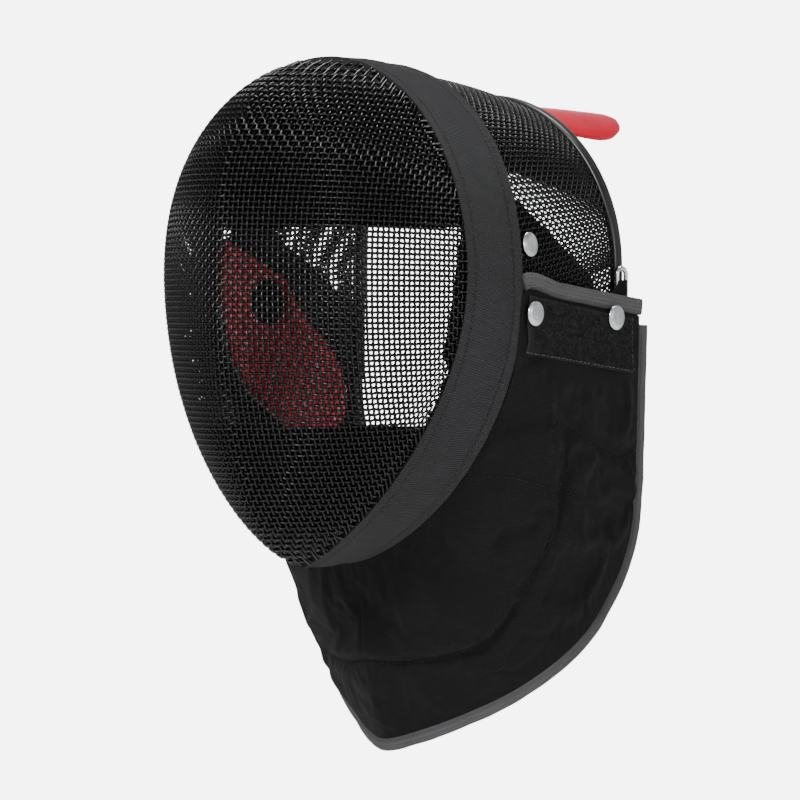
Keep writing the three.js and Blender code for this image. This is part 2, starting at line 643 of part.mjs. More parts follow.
// Snap caps: domed metal caps on the hood and on the bib's front and rear corners
function makeCaps(bib) {
  const profile = [[0, 0], [CAP_RADIUS, 0], [CAP_RADIUS, 0.35 * CAP_RISE], [0.75 * CAP_RADIUS, 0.85 * CAP_RISE],
    [0, CAP_RISE]].map(([x, y]) => new THREE.Vector2(x, y));
  for (const cap of SNAP_CAPS) {
    const reach = CAP_RADIUS * 0.7;
    const capBack = FRONT_DEPTH + BAND_REACH + cap.behind * BIB_REACH;
    const capLevel = cap.high * CAP_RADIUS;
    const face = (back, level) => (cap.onBib
      ? bibFace(bib, back, Math.min(level, tapeLevel(1) - 1)) + PATCH_LIFT + PATCH_WALL
      : wallHalfWidth(back, level, HOOD_SUNK));
    const slopeBack = (face(capBack + reach, capLevel) - face(capBack - reach, capLevel)) / (2 * reach);
    const slopeUp = (face(capBack, capLevel + reach) - face(capBack, capLevel - reach)) / (2 * reach);
    const normal = new THREE.Vector3(1, -slopeBack, -slopeUp).normalize();
    const at = place(face(capBack, capLevel), capBack, capLevel).addScaledVector(normal, CAP_LIFT);
    const turn = new THREE.Quaternion().setFromUnitVectors(new THREE.Vector3(0, 1, 0), normal);
    const geometry = new THREE.LatheGeometry(profile, CAP_SIDES).applyQuaternion(turn);
    geometry.translate(at.x, at.y, at.z);
    const plain = geometry.toNonIndexed();
    const points = plain.getAttribute('position');
    const corners = Array.from({ length: points.count }, (_, i) => (
      new THREE.Vector3().fromBufferAttribute(points, i)));
    addPair(`snap_cap_${cap.name}`, closedBody(corners), silver);
  }
}

// Strap ring: bent wire loop behind the rear corner, with the folded tab that holds it
const ringBack = FRONT_DEPTH + BAND_REACH + HOOD_REACH + RIM_REACH * 0.5;
const ringOut = HOOD_WIDTH - RIM_OVER + RING_WIRE + CLEARANCE;
function makeStrapRing() {
  const straight = RING_HEIGHT - RING_WIDTH;
  const centre = RING_TOP - RING_HEIGHT / 2;
  const turns = steps(RING_WIRE_STEPS, 0, 2 * Math.PI).slice(0, RING_WIRE_STEPS);
  const frames = turns.map((turn) => {
    const [c, s] = [Math.cos(turn), Math.sin(turn)];
    const half = RING_WIDTH / 2 - RING_WIRE;
    const at = place(ringOut, ringBack + half * c, centre + half * s + (Math.sign(s) * straight) / 2);
    return { at, across: new THREE.Vector3(0, c, s), up: new THREE.Vector3(1, 0, 0) };
  });
  addPair('strap_ring', sweep(frames, roundSection(RING_WIRE, RING_WIRE_SIDES), true), silver);
}

// Ring tab: short tapered strip from the tape up to the ring
function makeRingTab() {
  const foot = BIB_TOP_REAR + TAPE_HEIGHT + 3 * CLEARANCE;
  const x = ringOut + RING_WIRE + CLEARANCE;
  const skin = (lift) => grid([0, 0.5, 1], [0, 0.5, 1], (rise, along) => {
    const reach = TAB_REACH * mix(1, TAB_TAPER, rise);
    return place(x + lift, ringBack + RING_WIRE - reach * (1 - along), mix(foot, TAB_TOP, rise));
  });
  addPair('ring_tab', wall(skin(TAB_WALL), skin(0)), bibCloth);
}

// Forehead and chin pads: thick curved pads behind the front wall
function makeFacePad(name, lowLevel, highLevel, inset, thick, spread, finish) {
  const riseAt = (level) => {
    const high = level - FRONT_LEVEL;
    const height = high / (high > 0 ? FRONT_RISE - inset : FRONT_DROP - inset);
    return (Math.asin(THREE.MathUtils.clamp(height, -1, 1)) * 2) / Math.PI;
  };
  const rows = steps(PAD_ROWS, riseAt(lowLevel), riseAt(highLevel));
  const cols = steps(PAD_COLS, -spread, spread);
  const skin = (depth) => grid(rows, cols, (rise, side) => frontPoint(rise, side, depth));
  add(name, wall(skin(inset), skin(inset + thick)), finish);
}

// Crown pad: padding under the top of the hood
const linerInset = HOOD_SUNK + WIRE_WALL + LINER_GAP;
function makeCrownPad() {
  const [rows, cols] = [steps(LINER_ROWS, CROWN_FROM, CROWN_TO), steps(CROWN_COLS, -1, 1)];
  const skin = (depth) => grid(rows, cols, (along, side) => (
    hoodPoint(side * mix(CROWN_SIDE_FRONT, CROWN_SIDE_REAR, along), along, linerInset + depth)));
  add('crown_pad', wall(skin(0), skin(CROWN_WALL)), blackPad());
}

// Side linings: padded cloth inside the hood, behind the cheek pads
function makeSideLinings() {
  const [rows, cols] = [steps(LINER_ROWS, LINING_FROM, LINING_TO), steps(LINING_COLS, 0, 1)];
  const skin = (depth) => grid(rows, cols, (along, fall) => {
    const top = mix(LINING_TOP_FRONT, LINING_TOP_REAR, along);
    const angle = mix(top, hoodLimit - LINING_LOW_MARGIN, fall);
    return hoodPoint(angle, along, linerInset + depth);
  });
  addPair('side_lining', wall(skin(0), skin(LINING_WALL)), blackPad);
}

// Cheek pads: shaped side pads with an open ear hole
function cheekEdges(share) {
  const section = share * (CHEEK_SECTIONS.length - 1);
  const low = Math.min(Math.floor(section), CHEEK_SECTIONS.length - 2);
  const [a, b] = [CHEEK_SECTIONS[low], CHEEK_SECTIONS[low + 1]];
  const t = section - low;
  return {
    level: CHEEK_DROP * mix(a.level, b.level, t),
    front: CHEEK_REACH * mix(a.front, b.front, t),
    back: CHEEK_REACH * mix(a.back, b.back, t),
  };
}

function makeCheekPads() {
  const skin = (inset) => grid(steps(CHEEK_ROWS, 0, 1), steps(CHEEK_COLS, 0, 1), (fall, along) => {
    const { level, front, back } = cheekEdges(fall);
    const behind = mix(front, back, along);
    const point = place(0, behind, level);
    point.x = wallHalfWidth(behind, level, inset);
    return point;
  });
  const pad = wall(skin(CHEEK_INSET), skin(CHEEK_INSET + CHEEK_WALL));
  const hole = new THREE.CylinderGeometry(EAR_RADIUS, EAR_RADIUS, BAND_WIDTH, EAR_SIDES);
  const middle = place(BAND_WIDTH, EAR_BACK, EAR_LEVEL);
  hole.rotateZ(Math.PI / 2).translate(middle.x, middle.y, middle.z);
  addPair('cheek_pad', geometryOf(solidOf(pad).subtract(solidOf(hole))), redCloth);
}

makeFrontMesh();
makeSeamBand();
makeHood();
makeRearRim();
makeTongue();
const bib = makeBib();
makeBinding();
makeTopTapes();
makeLoopPatches(bib);
makeCaps(bib);
makeStrapRing();
makeRingTab();
makeFacePad('forehead_pad', FOREHEAD_LOW, FOREHEAD_TOP, WIRE_WALL + FOREHEAD_GAP, FOREHEAD_WALL,
  FOREHEAD_SPREAD, blackPad());
makeFacePad('chin_pad', CHIN_LOW, CHIN_TOP, CHIN_INSET, CHIN_WALL, CHIN_SPREAD, blackPad());
makeCrownPad();
makeSideLinings();
makeCheekPads();

export default mask;
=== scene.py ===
"""Fencing mask with woven wire walls, seam band, quilted bib, snap caps, strap rings and inner pads."""
import math
import random

import bmesh
import bpy
import numpy as np
from bpy.props import FloatProperty, FloatVectorProperty, IntProperty, PointerProperty
from mathutils import Matrix, Vector, noise
from mathutils.bvhtree import BVHTree


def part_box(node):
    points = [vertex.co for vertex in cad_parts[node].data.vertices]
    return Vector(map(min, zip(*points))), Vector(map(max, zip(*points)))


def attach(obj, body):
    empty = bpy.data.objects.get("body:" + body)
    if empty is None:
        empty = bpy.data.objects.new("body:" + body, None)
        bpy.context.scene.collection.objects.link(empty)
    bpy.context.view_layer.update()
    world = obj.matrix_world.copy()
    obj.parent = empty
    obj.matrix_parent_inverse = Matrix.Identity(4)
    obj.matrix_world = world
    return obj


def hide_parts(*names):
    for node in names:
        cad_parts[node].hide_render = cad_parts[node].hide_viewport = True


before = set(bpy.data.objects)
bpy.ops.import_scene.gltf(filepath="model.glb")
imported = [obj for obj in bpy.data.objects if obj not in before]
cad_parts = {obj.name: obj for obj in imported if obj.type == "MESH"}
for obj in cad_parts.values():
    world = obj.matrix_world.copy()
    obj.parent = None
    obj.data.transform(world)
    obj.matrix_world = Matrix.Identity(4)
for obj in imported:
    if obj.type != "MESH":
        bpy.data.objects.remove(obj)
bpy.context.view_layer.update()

bl_info = {
    "name": "Fencing mask",
    "version": (1, 0, 0),
    "blender": (4, 5, 0),
    "location": "3D View > Sidebar > Fencing mask",
    "description": "Dresses the fencing mask with wire, cloth, vinyl and metal pieces",
    "category": "Mesh",
}

# Sizes in millimetres, as in the part's source, with shares from 0 to 1 and angles in degrees
FACE_AHEAD = 160
SEAT_HEIGHT = 113
FRONT_DEPTH = 97
FRONT_WIDTH = 101.6
FRONT_LEVEL = 15
FRONT_RISE = 122
FRONT_DROP = 164
CHIN_FORWARD = 23
CREASE_POWER = 1.65
CREASE_SHARPER = 0.25
BAND_REACH = 34.6
BAND_WIDTH = 112.7
BAND_RISE = 133
BAND_DROP = 146
BAND_CHIN_FORWARD = 15
BAND_PROUD = 1.1
BAND_UNDER = 2.6
BAND_CROWN = 0.8
HOOD_REACH = 101
HOOD_WIDTH = 98
HOOD_ARCH_LEVEL = 20
HOOD_LOW = -45
HOOD_SUNK = 2
HOOD_SWELL = 2
WIRE_WALL = 2.2
WIRE_INSET = WIRE_WALL / 2
RIM_REACH = 7.5
RIM_OVER = 0.2
RIM_WALL = 5
CLEARANCE = 0.35  # between the rim and what stands beside it
TONGUE_WIDTH = 31
TONGUE_LENGTH = 122
TONGUE_WALL = 3.6
TONGUE_IN = 10
TONGUE_FALL = 5
TONGUE_BEND = 1.6
TONGUE_ARCH = 19
TONGUE_ROOT_ARCH = 0.55
TONGUE_TIP = 0.42
TONGUE_TIP_WIDTH = 0.13
BIB_WALL = 3.4
BIB_LOW = 249
BIB_REACH = 112
BIB_TOP_FRONT = 5
BIB_TOP_REAR = -8
BIB_OVER = 1.1
BIB_FLARE = 7.5
BIB_SLOPE = 0.28
BIB_BULGE = 5
HEM_WIDTH = 6.5
HEM_WALL = 4.6
TAPE_HEIGHT = 8.6
TAPE_WALL = 4.6
PATCH_WALL = 1.4
PATCH_LIFT = 0.6
PATCH_HEIGHT_FRONT = 33
PATCH_HEIGHT_REAR = 31
PATCH_FRONT_GAP = 3
PATCH_BELOW = 2
PATCH_REAR_GAP = 9
RING_WIRE = 1.35
RING_WIDTH = 10.4
RING_HEIGHT = 30
RING_TOP = 20
CHEEK_INSET = 8.2
CHEEK_WALL = 9
LINER_INSET = 4.8
CROWN_WALL = 5
CROWN_FROM = 0.04
CROWN_TO = 0.86
CROWN_SIDE_FRONT = 54
CROWN_SIDE_REAR = 68
LINING_WALL = 2.8
LINING_FROM = 0.03
LINING_TO = 0.96
LINING_TOP_FRONT = 60
LINING_TOP_REAR = 99
EAR_RADIUS = 14
EAR_BACK = 156
EAR_LEVEL = 0

# Bib stations from chin to rear corner: place on the band in degrees or share of the tape, then the hem
BIB_STATIONS = [
    ("edge", 180, 0, 0.135, 1), ("edge", 165, 0.16, 0.2, 0.982), ("edge", 151, 0.355, 0.325, 0.944),
    ("edge", 136, 0.568, 0.455, 0.892), ("edge", 119, 0.745, 0.61, 0.819), ("edge", 105, 0.835, 0.735, 0.751),
    ("tape", 0, 0.878, 0.842, 0.675), ("tape", 0.3, 0.9, 0.925, 0.606), ("tape", 0.65, 0.915, 0.985, 0.522),
    ("tape", 1, 0.93, 1, 0.402),
]
# Sewn channels of the bib: around and fall at both ends
BIB_SEAMS = [(0.62, 0.36, 1, 0.78), (0.66, 0.46, 0.3, 0.72), (0.3, 0.72, 0, 0.55), (0.4, 0.1, 0.72, 0.8)]
SEAM_DEPTH = 3.2
SEAM_WIDTH = 0.045
# Soft folds: around, fall, how wide, how long and how far out
BIB_FOLDS = [(0.12, 0.22, 0.1, 0.16, 4), (0.3, 0.28, 0.09, 0.2, -4), (0.46, 0.3, 0.1, 0.2, 5),
             (0.6, 0.62, 0.12, 0.2, 3.5), (0.84, 0.6, 0.1, 0.2, -3)]
# Red panel of the cheek pad: level, front edge, back edge
CHEEK_PANEL = [
    (34, 108, 118), (22, 107, 150), (4, 107, 171), (-14, 108, 187), (-32, 112, 206), (-54, 132, 212),
    (-68, 152, 206), (-78, 166, 188),
]
# Black base of the cheek pad: level, front edge, back edge
CHEEK_SECTIONS = [
    (36, 104, 118), (24, 101, 152), (6, 99, 174), (-14, 98, 190), (-32, 98, 210), (-54, 116, 216),
    (-70, 146, 210), (-80, 166, 190),
]
# Ridges and sewn channels of the band: how high, where across it and how wide
BAND_CHANNELS = (0.14, 0.84)
BAND_RIDGES = ((0.75, 0.93, 0.03), (0.35, 0.5, 0.12), *((-0.55, channel, 0.022) for channel in BAND_CHANNELS))

# Sizes of the scene alone, in metres unless a line says otherwise
FRONT_LIMIT = 0.9995  # share of the front's height that the wires fill
WIRE_END = 0.0022  # how far a wire runs on past its last crossing, in under the band
FOUR_SIDED = 1.3  # a four-sided rod is this much thicker than the round wire that it stands for
ROW_LEVEL = FRONT_LEVEL - 20  # the rows of wire bend towards this level, in millimetres
ROW_SAG = 0.08  # share of that bend at the sides
TAPE_RIB = 0.0008
THREAD_TWIST = 0.0004
THREAD_RADIUS = 0.26  # in millimetres
PAD_TUCK = 7  # how far a face pad's side edges reach in under the band, in millimetres

# Stage: the photo's scale and view
VIEW_TURN = 40
PHOTO_WIDTH = 800
PHOTO_PIXELS_PER_MM = 1.79
SENSOR = 36
AIM = Vector((0.0099, -0.012, -0.169))
EYE_LEVEL = -0.113
FACE_NEARER = 117  # how much nearer than the aim the measured face stands, in millimetres
FLOOR_LEVEL = -0.72


# Surfaces, in metres

def place(x, back, level):
    return Vector((x, back - FACE_AHEAD, level - SEAT_HEIGHT)) * 0.001


def mix(a, b, t):
    return a + (b - a) * t


def smooth(value, low, high):
    t = min(1.0, max(0.0, (value - low) / (high - low)))
    return t * t * (3 - 2 * t)


def hump(value, middle, width):
    return math.exp(-((value - middle) / width) ** 2)


def squarer(wave, power):
    """A sine or cosine bent towards a square wave."""
    return math.copysign(abs(wave) ** power, wave)


def front_reach(height, inset):
    return (FRONT_RISE if height >= 0 else FRONT_DROP) - inset


def front_height(level, inset):
    """A level as a share of the front's height, from -1 at the chin to 1 at the top."""
    high = level - FRONT_LEVEL
    return high / front_reach(high, inset)


def front_share(height):
    return math.sqrt(max(0, 1 - height ** 2)) if height >= 0 else max(0, 1 - (-height) ** 1.8) ** 0.75


def band_share(height):
    if height >= 0:
        return max(0, 1 - height ** 2.4) ** (1 / 2.4)
    return max(0, 1 - (-height) ** 1.8) ** 0.6


def edge_back(height):
    return FRONT_DEPTH - (CHIN_FORWARD * height ** 2 if height < 0 else 0)


def band_back(height):
    return FRONT_DEPTH + BAND_REACH - (BAND_CHIN_FORWARD * height ** 2 if height < 0 else 0)


def crease_back(height):
    return edge_back(height) * (1 - max(0, 1 - abs(height) ** 3) ** (0.5 if height >= 0 else 0.6))


def front_point(height, side, inset):
    """A point of the front wall: height from -1 at the chin to 1 at the top, side from -1 to 1."""
    power = CREASE_POWER - (CREASE_SHARPER * height ** 2 if height > 0 else 0)
    turn = abs(side) * math.pi / 2
    out = math.sin(turn) ** (2 / power)
    ahead = max(0, math.cos(turn)) ** (2 / power)
    edge = edge_back(height)
    depth = (edge - crease_back(height)) * (FRONT_DEPTH - inset) / FRONT_DEPTH
    x = math.copysign((FRONT_WIDTH - inset) * front_share(height) * out, side)
    return place(x, edge - depth * ahead, FRONT_LEVEL + front_reach(height, inset) * height)


def front_ring(angle, inset):
    height = math.cos(math.radians(angle))
    x = math.copysign((FRONT_WIDTH - inset) * front_share(height), math.sin(math.radians(angle)))
    return place(x, edge_back(height), FRONT_LEVEL + front_reach(height, inset) * height)


def band_ring(angle, inset):
    height = math.cos(math.radians(angle))
    reach = (BAND_RISE if height >= 0 else BAND_DROP) - inset
    x = math.copysign((BAND_WIDTH - inset) * band_share(height), math.sin(math.radians(angle)))
    return place(x, band_back(height), reach * height)


HOOD_LIMIT = math.degrees(math.acos(HOOD_LOW / BAND_DROP))


def rear_ring(angle, inset):
    turn = math.radians(abs(angle))
    legs = (HOOD_ARCH_LEVEL - HOOD_LOW) / math.cos(math.radians(HOOD_LIMIT))
    high = math.cos(turn)
    level = (HOOD_WIDTH - inset) * high if high >= 0 else -high * legs
    out = math.sin(turn) if high >= 0 else 1
    return place(math.copysign((HOOD_WIDTH - inset) * out, angle), FRONT_DEPTH + BAND_REACH + HOOD_REACH,
                 HOOD_ARCH_LEVEL + level)


def hood_point(angle, along, inset):
    swell = HOOD_SWELL * math.sin(math.pi * min(1, max(0, along)))
    return band_ring(angle, inset - swell).lerp(rear_ring(angle, inset - swell), along)


def wall_half_width(back, level, inset):
    """Half width of the wire wall in millimetres, by distance behind the crease and level."""
    front_high = min(1, max(-1, front_height(level, inset)))
    band_high = min(1, max(-1, level / ((BAND_RISE if level > 0 else BAND_DROP) - inset)))
    edge, band_edge = edge_back(front_high), band_back(band_high)
    rear_high = max(0, level - HOOD_ARCH_LEVEL) / (HOOD_WIDTH - inset)
    front = (FRONT_WIDTH - inset) * front_share(front_high)
    band = (BAND_WIDTH - inset) * band_share(band_high)
    rear = (HOOD_WIDTH - inset) * math.sqrt(max(0, 1 - rear_high ** 2))
    if back < edge:
        ahead = min(1, (edge - back) / max(1, edge - crease_back(front_high) - inset))
        return front * max(0, 1 - ahead ** CREASE_POWER) ** (1 / CREASE_POWER)
    if back < band_edge:
        return mix(front, band, (back - edge) / (band_edge - edge))
    along = min(1.2, (back - band_edge) / HOOD_REACH)
    swell = HOOD_SWELL * math.sin(math.pi * along) if along < 1 and level > HOOD_LOW else 0
    return mix(band, rear, along) + swell


BIB_REAR_BACK = FRONT_DEPTH + BAND_REACH + BIB_REACH


def tape_back(share):
    return mix(FRONT_DEPTH + BAND_REACH + 0.7, BIB_REAR_BACK, share)


def tape_level(share):
    return mix(BIB_TOP_FRONT, BIB_TOP_REAR, share)


def bib_top(kind, value):
    if kind == "edge":
        beside_hood = BAND_DROP * math.cos(math.radians(value)) > HOOD_LOW - 10
        return band_ring(value, HOOD_SUNK - BIB_OVER - BIB_WALL if beside_hood else 0)
    back, level = tape_back(value), tape_level(value)
    over = wall_half_width(min(back, FRONT_DEPTH + BAND_REACH + HOOD_REACH), level, HOOD_SUNK)
    return place(over + BIB_OVER + BIB_WALL + BIB_FLARE * value ** 2, back, level)


def bib_hem(out, back, down):
    return place(out * BAND_WIDTH, FRONT_DEPTH + BAND_REACH + back * BIB_REACH, -down * BIB_LOW)


def other_side(points):
    """The mirror image of points or directions, on the wearer's right."""
    return [Vector((-p.x, p.y, p.z)) for p in points]


def flowing_line(points):
    """A smooth line through the points and their mirror images, read at t from 0 to 1."""
    points = other_side(reversed(points[1:])) + points
    last = len(points) - 1

    def at(t):
        t = min(0.999999, max(0, t)) * last
        i = int(t)
        p1, p2 = points[i], points[i + 1]
        p0 = points[i - 1] if i > 0 else 2 * p1 - p2
        p3 = points[i + 2] if i + 2 <= last else 2 * p2 - p1
        d0, d1, d2 = (max(1e-4, (b - a).length * 1000) ** 0.5 for a, b in ((p0, p1), (p1, p2), (p2, p3)))
        t1 = ((p1 - p0) / d0 - (p2 - p0) / (d0 + d1) + (p2 - p1) / d1) * d1
        t2 = ((p2 - p1) / d1 - (p3 - p1) / (d1 + d2) + (p3 - p2) / d2) * d1
        w = t - i
        return (p1 + t1 * w + (-3 * p1 + 3 * p2 - 2 * t1 - t2) * w ** 2
                + (2 * p1 - 2 * p2 + t1 + t2) * w ** 3)
    return at


top_line = flowing_line([bib_top(kind, value) for kind, value, *_ in BIB_STATIONS])
hem_line = flowing_line([bib_hem(*rest) for _, _, *rest in BIB_STATIONS])


def seam_distance(around, fall, seam):
    run = Vector((seam[2] - seam[0], seam[3] - seam[1]))
    here = Vector((around - seam[0], fall - seam[1]))
    return (here - run * min(1, max(0, here.dot(run) / run.length_squared))).length


def bib_relief(around, fall):
    """How far the cloth stands out, in millimetres, less and less towards its borders."""
    side = abs(around)
    fade = smooth(fall, 0.16, 0.34) * smooth(1 - fall, 0, 0.12) * smooth(1 - side, 0, 0.08)
    relief = BIB_BULGE * math.sin(math.pi * fall)
    for place_around, place_fall, wide, long, out in BIB_FOLDS:
        relief += out * math.exp(-((side - place_around) / wide) ** 2 - ((fall - place_fall) / long) ** 2)
    for seam in BIB_SEAMS:
        relief -= SEAM_DEPTH * hump(seam_distance(side, fall, seam), 0, SEAM_WIDTH)
    return relief * fade


BIB_AXIS = place(0, FRONT_DEPTH + BAND_REACH + BIB_REACH * 0.6, 0)


def bib_outward(point, around):
    ahead = (point.y - BIB_AXIS.y) * (1 - abs(around))
    return Vector((point.x, ahead, BIB_SLOPE * ahead)).normalized()


def bib_point(around, fall, lift=0.0):
    """A point of the bib: around from -1 to 1, fall from 0 at the top to 1 at the hem."""
    t = (around + 1) / 2
    point = top_line(t).lerp(hem_line(t), fall)
    return point + bib_outward(point, around) * (bib_relief(around, fall) + lift) * 0.001


# Mesh helpers

def mapped_grid(cols, rows, surface, size=(1.0, 1.0), joined=False):
    """A grid of faces laid on surface(u, v), with its UV map in metres."""
    bm = bmesh.new()
    bmesh.ops.create_grid(bm, x_segments=cols, y_segments=rows, size=0.5)
    layer = bm.loops.layers.uv.new("UVMap")
    for face in bm.faces:
        face.smooth = True
        for loop in face.loops:
            loop[layer].uv = ((loop.vert.co.x + 0.5) * size[0], (loop.vert.co.y + 0.5) * size[1])
    for vert in bm.verts:
        vert.co = surface(vert.co.x + 0.5, vert.co.y + 0.5)
    if joined:
        bmesh.ops.remove_doubles(bm, verts=bm.verts, dist=1e-6)
    return bm


def turn_out(bm, centre):
    """Turns the faces of an open sheet so that they look away from centre."""
    bmesh.ops.recalc_face_normals(bm, faces=bm.faces)
    if sum(f.normal.dot(f.calc_center_median() - centre) * f.calc_area() for f in bm.faces) < 0:
        bmesh.ops.reverse_faces(bm, faces=bm.faces)


def closed_out(bm):
    """Merges the doubles of a closed shell and turns its faces outwards."""
    bmesh.ops.remove_doubles(bm, verts=bm.verts, dist=1e-6)
    bmesh.ops.recalc_face_normals(bm, faces=bm.faces)


def object_of(name, bm, finish):
    mesh = bpy.data.meshes.new(name)
    bm.to_mesh(mesh)
    bm.free()
    return object_from(name, mesh, finish)


def object_from(name, mesh, finish):
    obj = bpy.data.objects.new(name, mesh)
    bpy.context.scene.collection.objects.link(obj)
    mesh.materials.clear()
    mesh.materials.append(finish)
    return obj


def dress(obj, slot, *nodes):
    """The piece rides on the mask and stands for its nodes; slot is not used."""
    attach(obj, "root")
    if nodes:
        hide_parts(*nodes)
    return obj


def thicken(obj, millimetres, soften=0.0):
    wall = obj.modifiers.new("Wall", "SOLIDIFY")
    wall.thickness = millimetres * 0.001
    wall.offset = -1
    wall.use_even_offset = False
    if soften:
        edge = obj.modifiers.new("Soft edge", "BEVEL")
        edge.width = soften * 0.001
        edge.segments = 2
        edge.limit_method = "ANGLE"
        edge.angle_limit = math.radians(50)


def mirrored(bm):
    """A mirror image of the mesh, on the wearer's right."""
    other = bm.copy()
    bmesh.ops.scale(other, vec=(-1, 1, 1), verts=other.verts)
    bmesh.ops.reverse_faces(other, faces=other.faces)
    return other


def both_sides(name, bm, finish, slot, node):
    """The piece on the wearer's left and its mirror image."""
    pieces = []
    for side, mesh in (("left", bm), ("right", mirrored(bm))):
        nodes = [f"{node}_{side}"] if node else []
        pieces.append(dress(object_of(f"{name}_{side}", mesh, finish), slot, *nodes))
    return pieces


def rods(name, lines, radius, finish, sides=0):
    """Round rods along lines of points, as one mesh."""
    curve = bpy.data.curves.new(name, "CURVE")
    curve.dimensions = "3D"
    curve.bevel_depth = radius * 0.001
    curve.bevel_resolution = sides
    curve.use_fill_caps = True
    for points, closed in lines:
        spline = curve.splines.new("POLY")
        spline.points.add(len(points) - 1)
        spline.points.foreach_set("co", [c for p in points for c in (*p, 1)])
        spline.use_cyclic_u = closed
    temporary = bpy.data.objects.new(name, curve)
    bpy.context.scene.collection.objects.link(temporary)
    bpy.context.view_layer.update()
    depsgraph = bpy.context.evaluated_depsgraph_get()
    mesh = bpy.data.meshes.new_from_object(temporary.evaluated_get(depsgraph), depsgraph=depsgraph)
    bpy.data.objects.remove(temporary)
    return object_from(name, mesh, finish)


def spun(profile, steps):
    """A profile of (distance from the axis, height) spun once about Z."""
    bm = bmesh.new()
    verts = [bm.verts.new((out, 0, high)) for out, high in profile]
    edges = [bm.edges.new(pair) for pair in zip(verts, verts[1:])]
    bmesh.ops.spin(bm, geom=verts + edges, cent=(0, 0, 0), axis=(0, 0, 1), angle=math.tau, steps=steps,
                   use_merge=True)
    closed_out(bm)
    for face in bm.faces:
        face.smooth = True
    return bm


def tube_on(path, section, surface_size):
    """A closed bar through frames of (point, across, up), with section points in millimetres, ends filled."""
    cols, rows = len(path) - 1, len(section)

    def surface(u, v):
        point, across, up = path[round(u * cols)]
        a, b = section[round(v * rows) % rows]
        return point + across * (a * 0.001) + up * (b * 0.001)
    bm = mapped_grid(cols, rows, surface, surface_size)
    bmesh.ops.remove_doubles(bm, verts=bm.verts, dist=1e-7)
    bmesh.ops.holes_fill(bm, edges=[e for e in bm.edges if e.is_boundary])
    closed_out(bm)
    return bm


def soft_section(width, wall, power):
    """A soft rectangle of 24 points, from 0 to width across and centred on the wall."""
    points = []
    for i in range(24):
        turn = math.tau * i / 24
        across = 0.5 + 0.5 * squarer(math.cos(turn), power)
        points.append((width * across, wall * 0.5 * squarer(math.sin(turn), power)))
    return points


def line_lengths(points):
    """A line of points as an array, and how far along the line each one is."""
    spots = np.array([tuple(p) for p in points])
    return spots, np.concatenate([[0], np.cumsum(np.linalg.norm(np.diff(spots, axis=0), axis=1))])


def spaced(points, step):
    """Points an even step apart along a line of points."""
    spots, run = line_lengths(points)
    marks = np.arange(0, run[-1], step)
    return [Vector(row) for row in np.stack([np.interp(marks, run, spots[:, k]) for k in range(3)], axis=1)]


def stitches(lines, length=2.4, gap=1.0, sink=0.15, rise=0.22):
    """Short threads along lines of (points, outward directions), in millimetres.

    Each is a little arch that dips at its ends.
    """
    made = []
    for points, outs in lines:
        fine = spaced(points, (length + gap) * 0.001 / 4)
        rough = np.array([tuple(p) for p in points])
        for i in range(0, len(fine) - 4, 4):
            near = int(np.argmin(np.linalg.norm(rough - np.array(fine[i]), axis=1)))
            low, high = outs[near] * sink * 0.001, outs[near] * rise * 0.001
            a, b = fine[i], fine[i].lerp(fine[i + 4], length / (length + gap))
            made.append(([a - low, a.lerp(b, 0.25) + high, a.lerp(b, 0.75) + high, b - low], False))
    return made


def sewn(name, lines, brightness, slot, radius=THREAD_RADIUS, **spacing):
    """Stitches along the lines, as one piece of thread."""
    colour = shade(settings().cloth.thread, brightness)
    thread = ribbed_finish(f"{name}_thread", colour, THREAD_TWIST, THREAD_TWIST)
    return dress(rods(f"{name}_stitches", stitches(lines, **spacing), radius, thread), slot)


def settle(obj, group, pressure, slack, frames, most):
    """Lets the cloth puff and crease by simulation, and keeps the result.

    No point moves further than most, in millimetres.
    """
    scene = bpy.context.scene
    start = np.array([tuple(v.co) for v in obj.data.vertices])
    modifier = obj.modifiers.new("Cloth", "CLOTH")
    cloth = modifier.settings
    cloth.quality = 5
    cloth.mass = 0.25
    cloth.tension_stiffness = 25
    cloth.compression_stiffness = 25
    cloth.shear_stiffness = 10
    cloth.bending_stiffness = 0.6
    cloth.vertex_group_mass = group
    cloth.pin_stiffness = 1
    cloth.use_pressure = True
    cloth.uniform_pressure_force = pressure
    cloth.shrink_min = -slack
    cloth.effector_weights.gravity = 0
    modifier.collision_settings.use_collision = False
    modifier.point_cache.frame_end = frames
    for step in range(1, frames + 1):
        scene.frame_set(step)
    depsgraph = bpy.context.evaluated_depsgraph_get()
    moved = np.array([tuple(v.co) for v in obj.evaluated_get(depsgraph).data.vertices])
    shift = moved - start
    length = np.linalg.norm(shift, axis=1, keepdims=True)
    limit = most * 0.001
    shift *= np.where(length > 1e-9, limit * np.tanh(length / limit) / np.maximum(length, 1e-9), 0)
    obj.modifiers.remove(modifier)
    scene.frame_set(1)
    obj.data.vertices.foreach_set("co", (start + shift).ravel())
    obj.data.update()


# Finishes

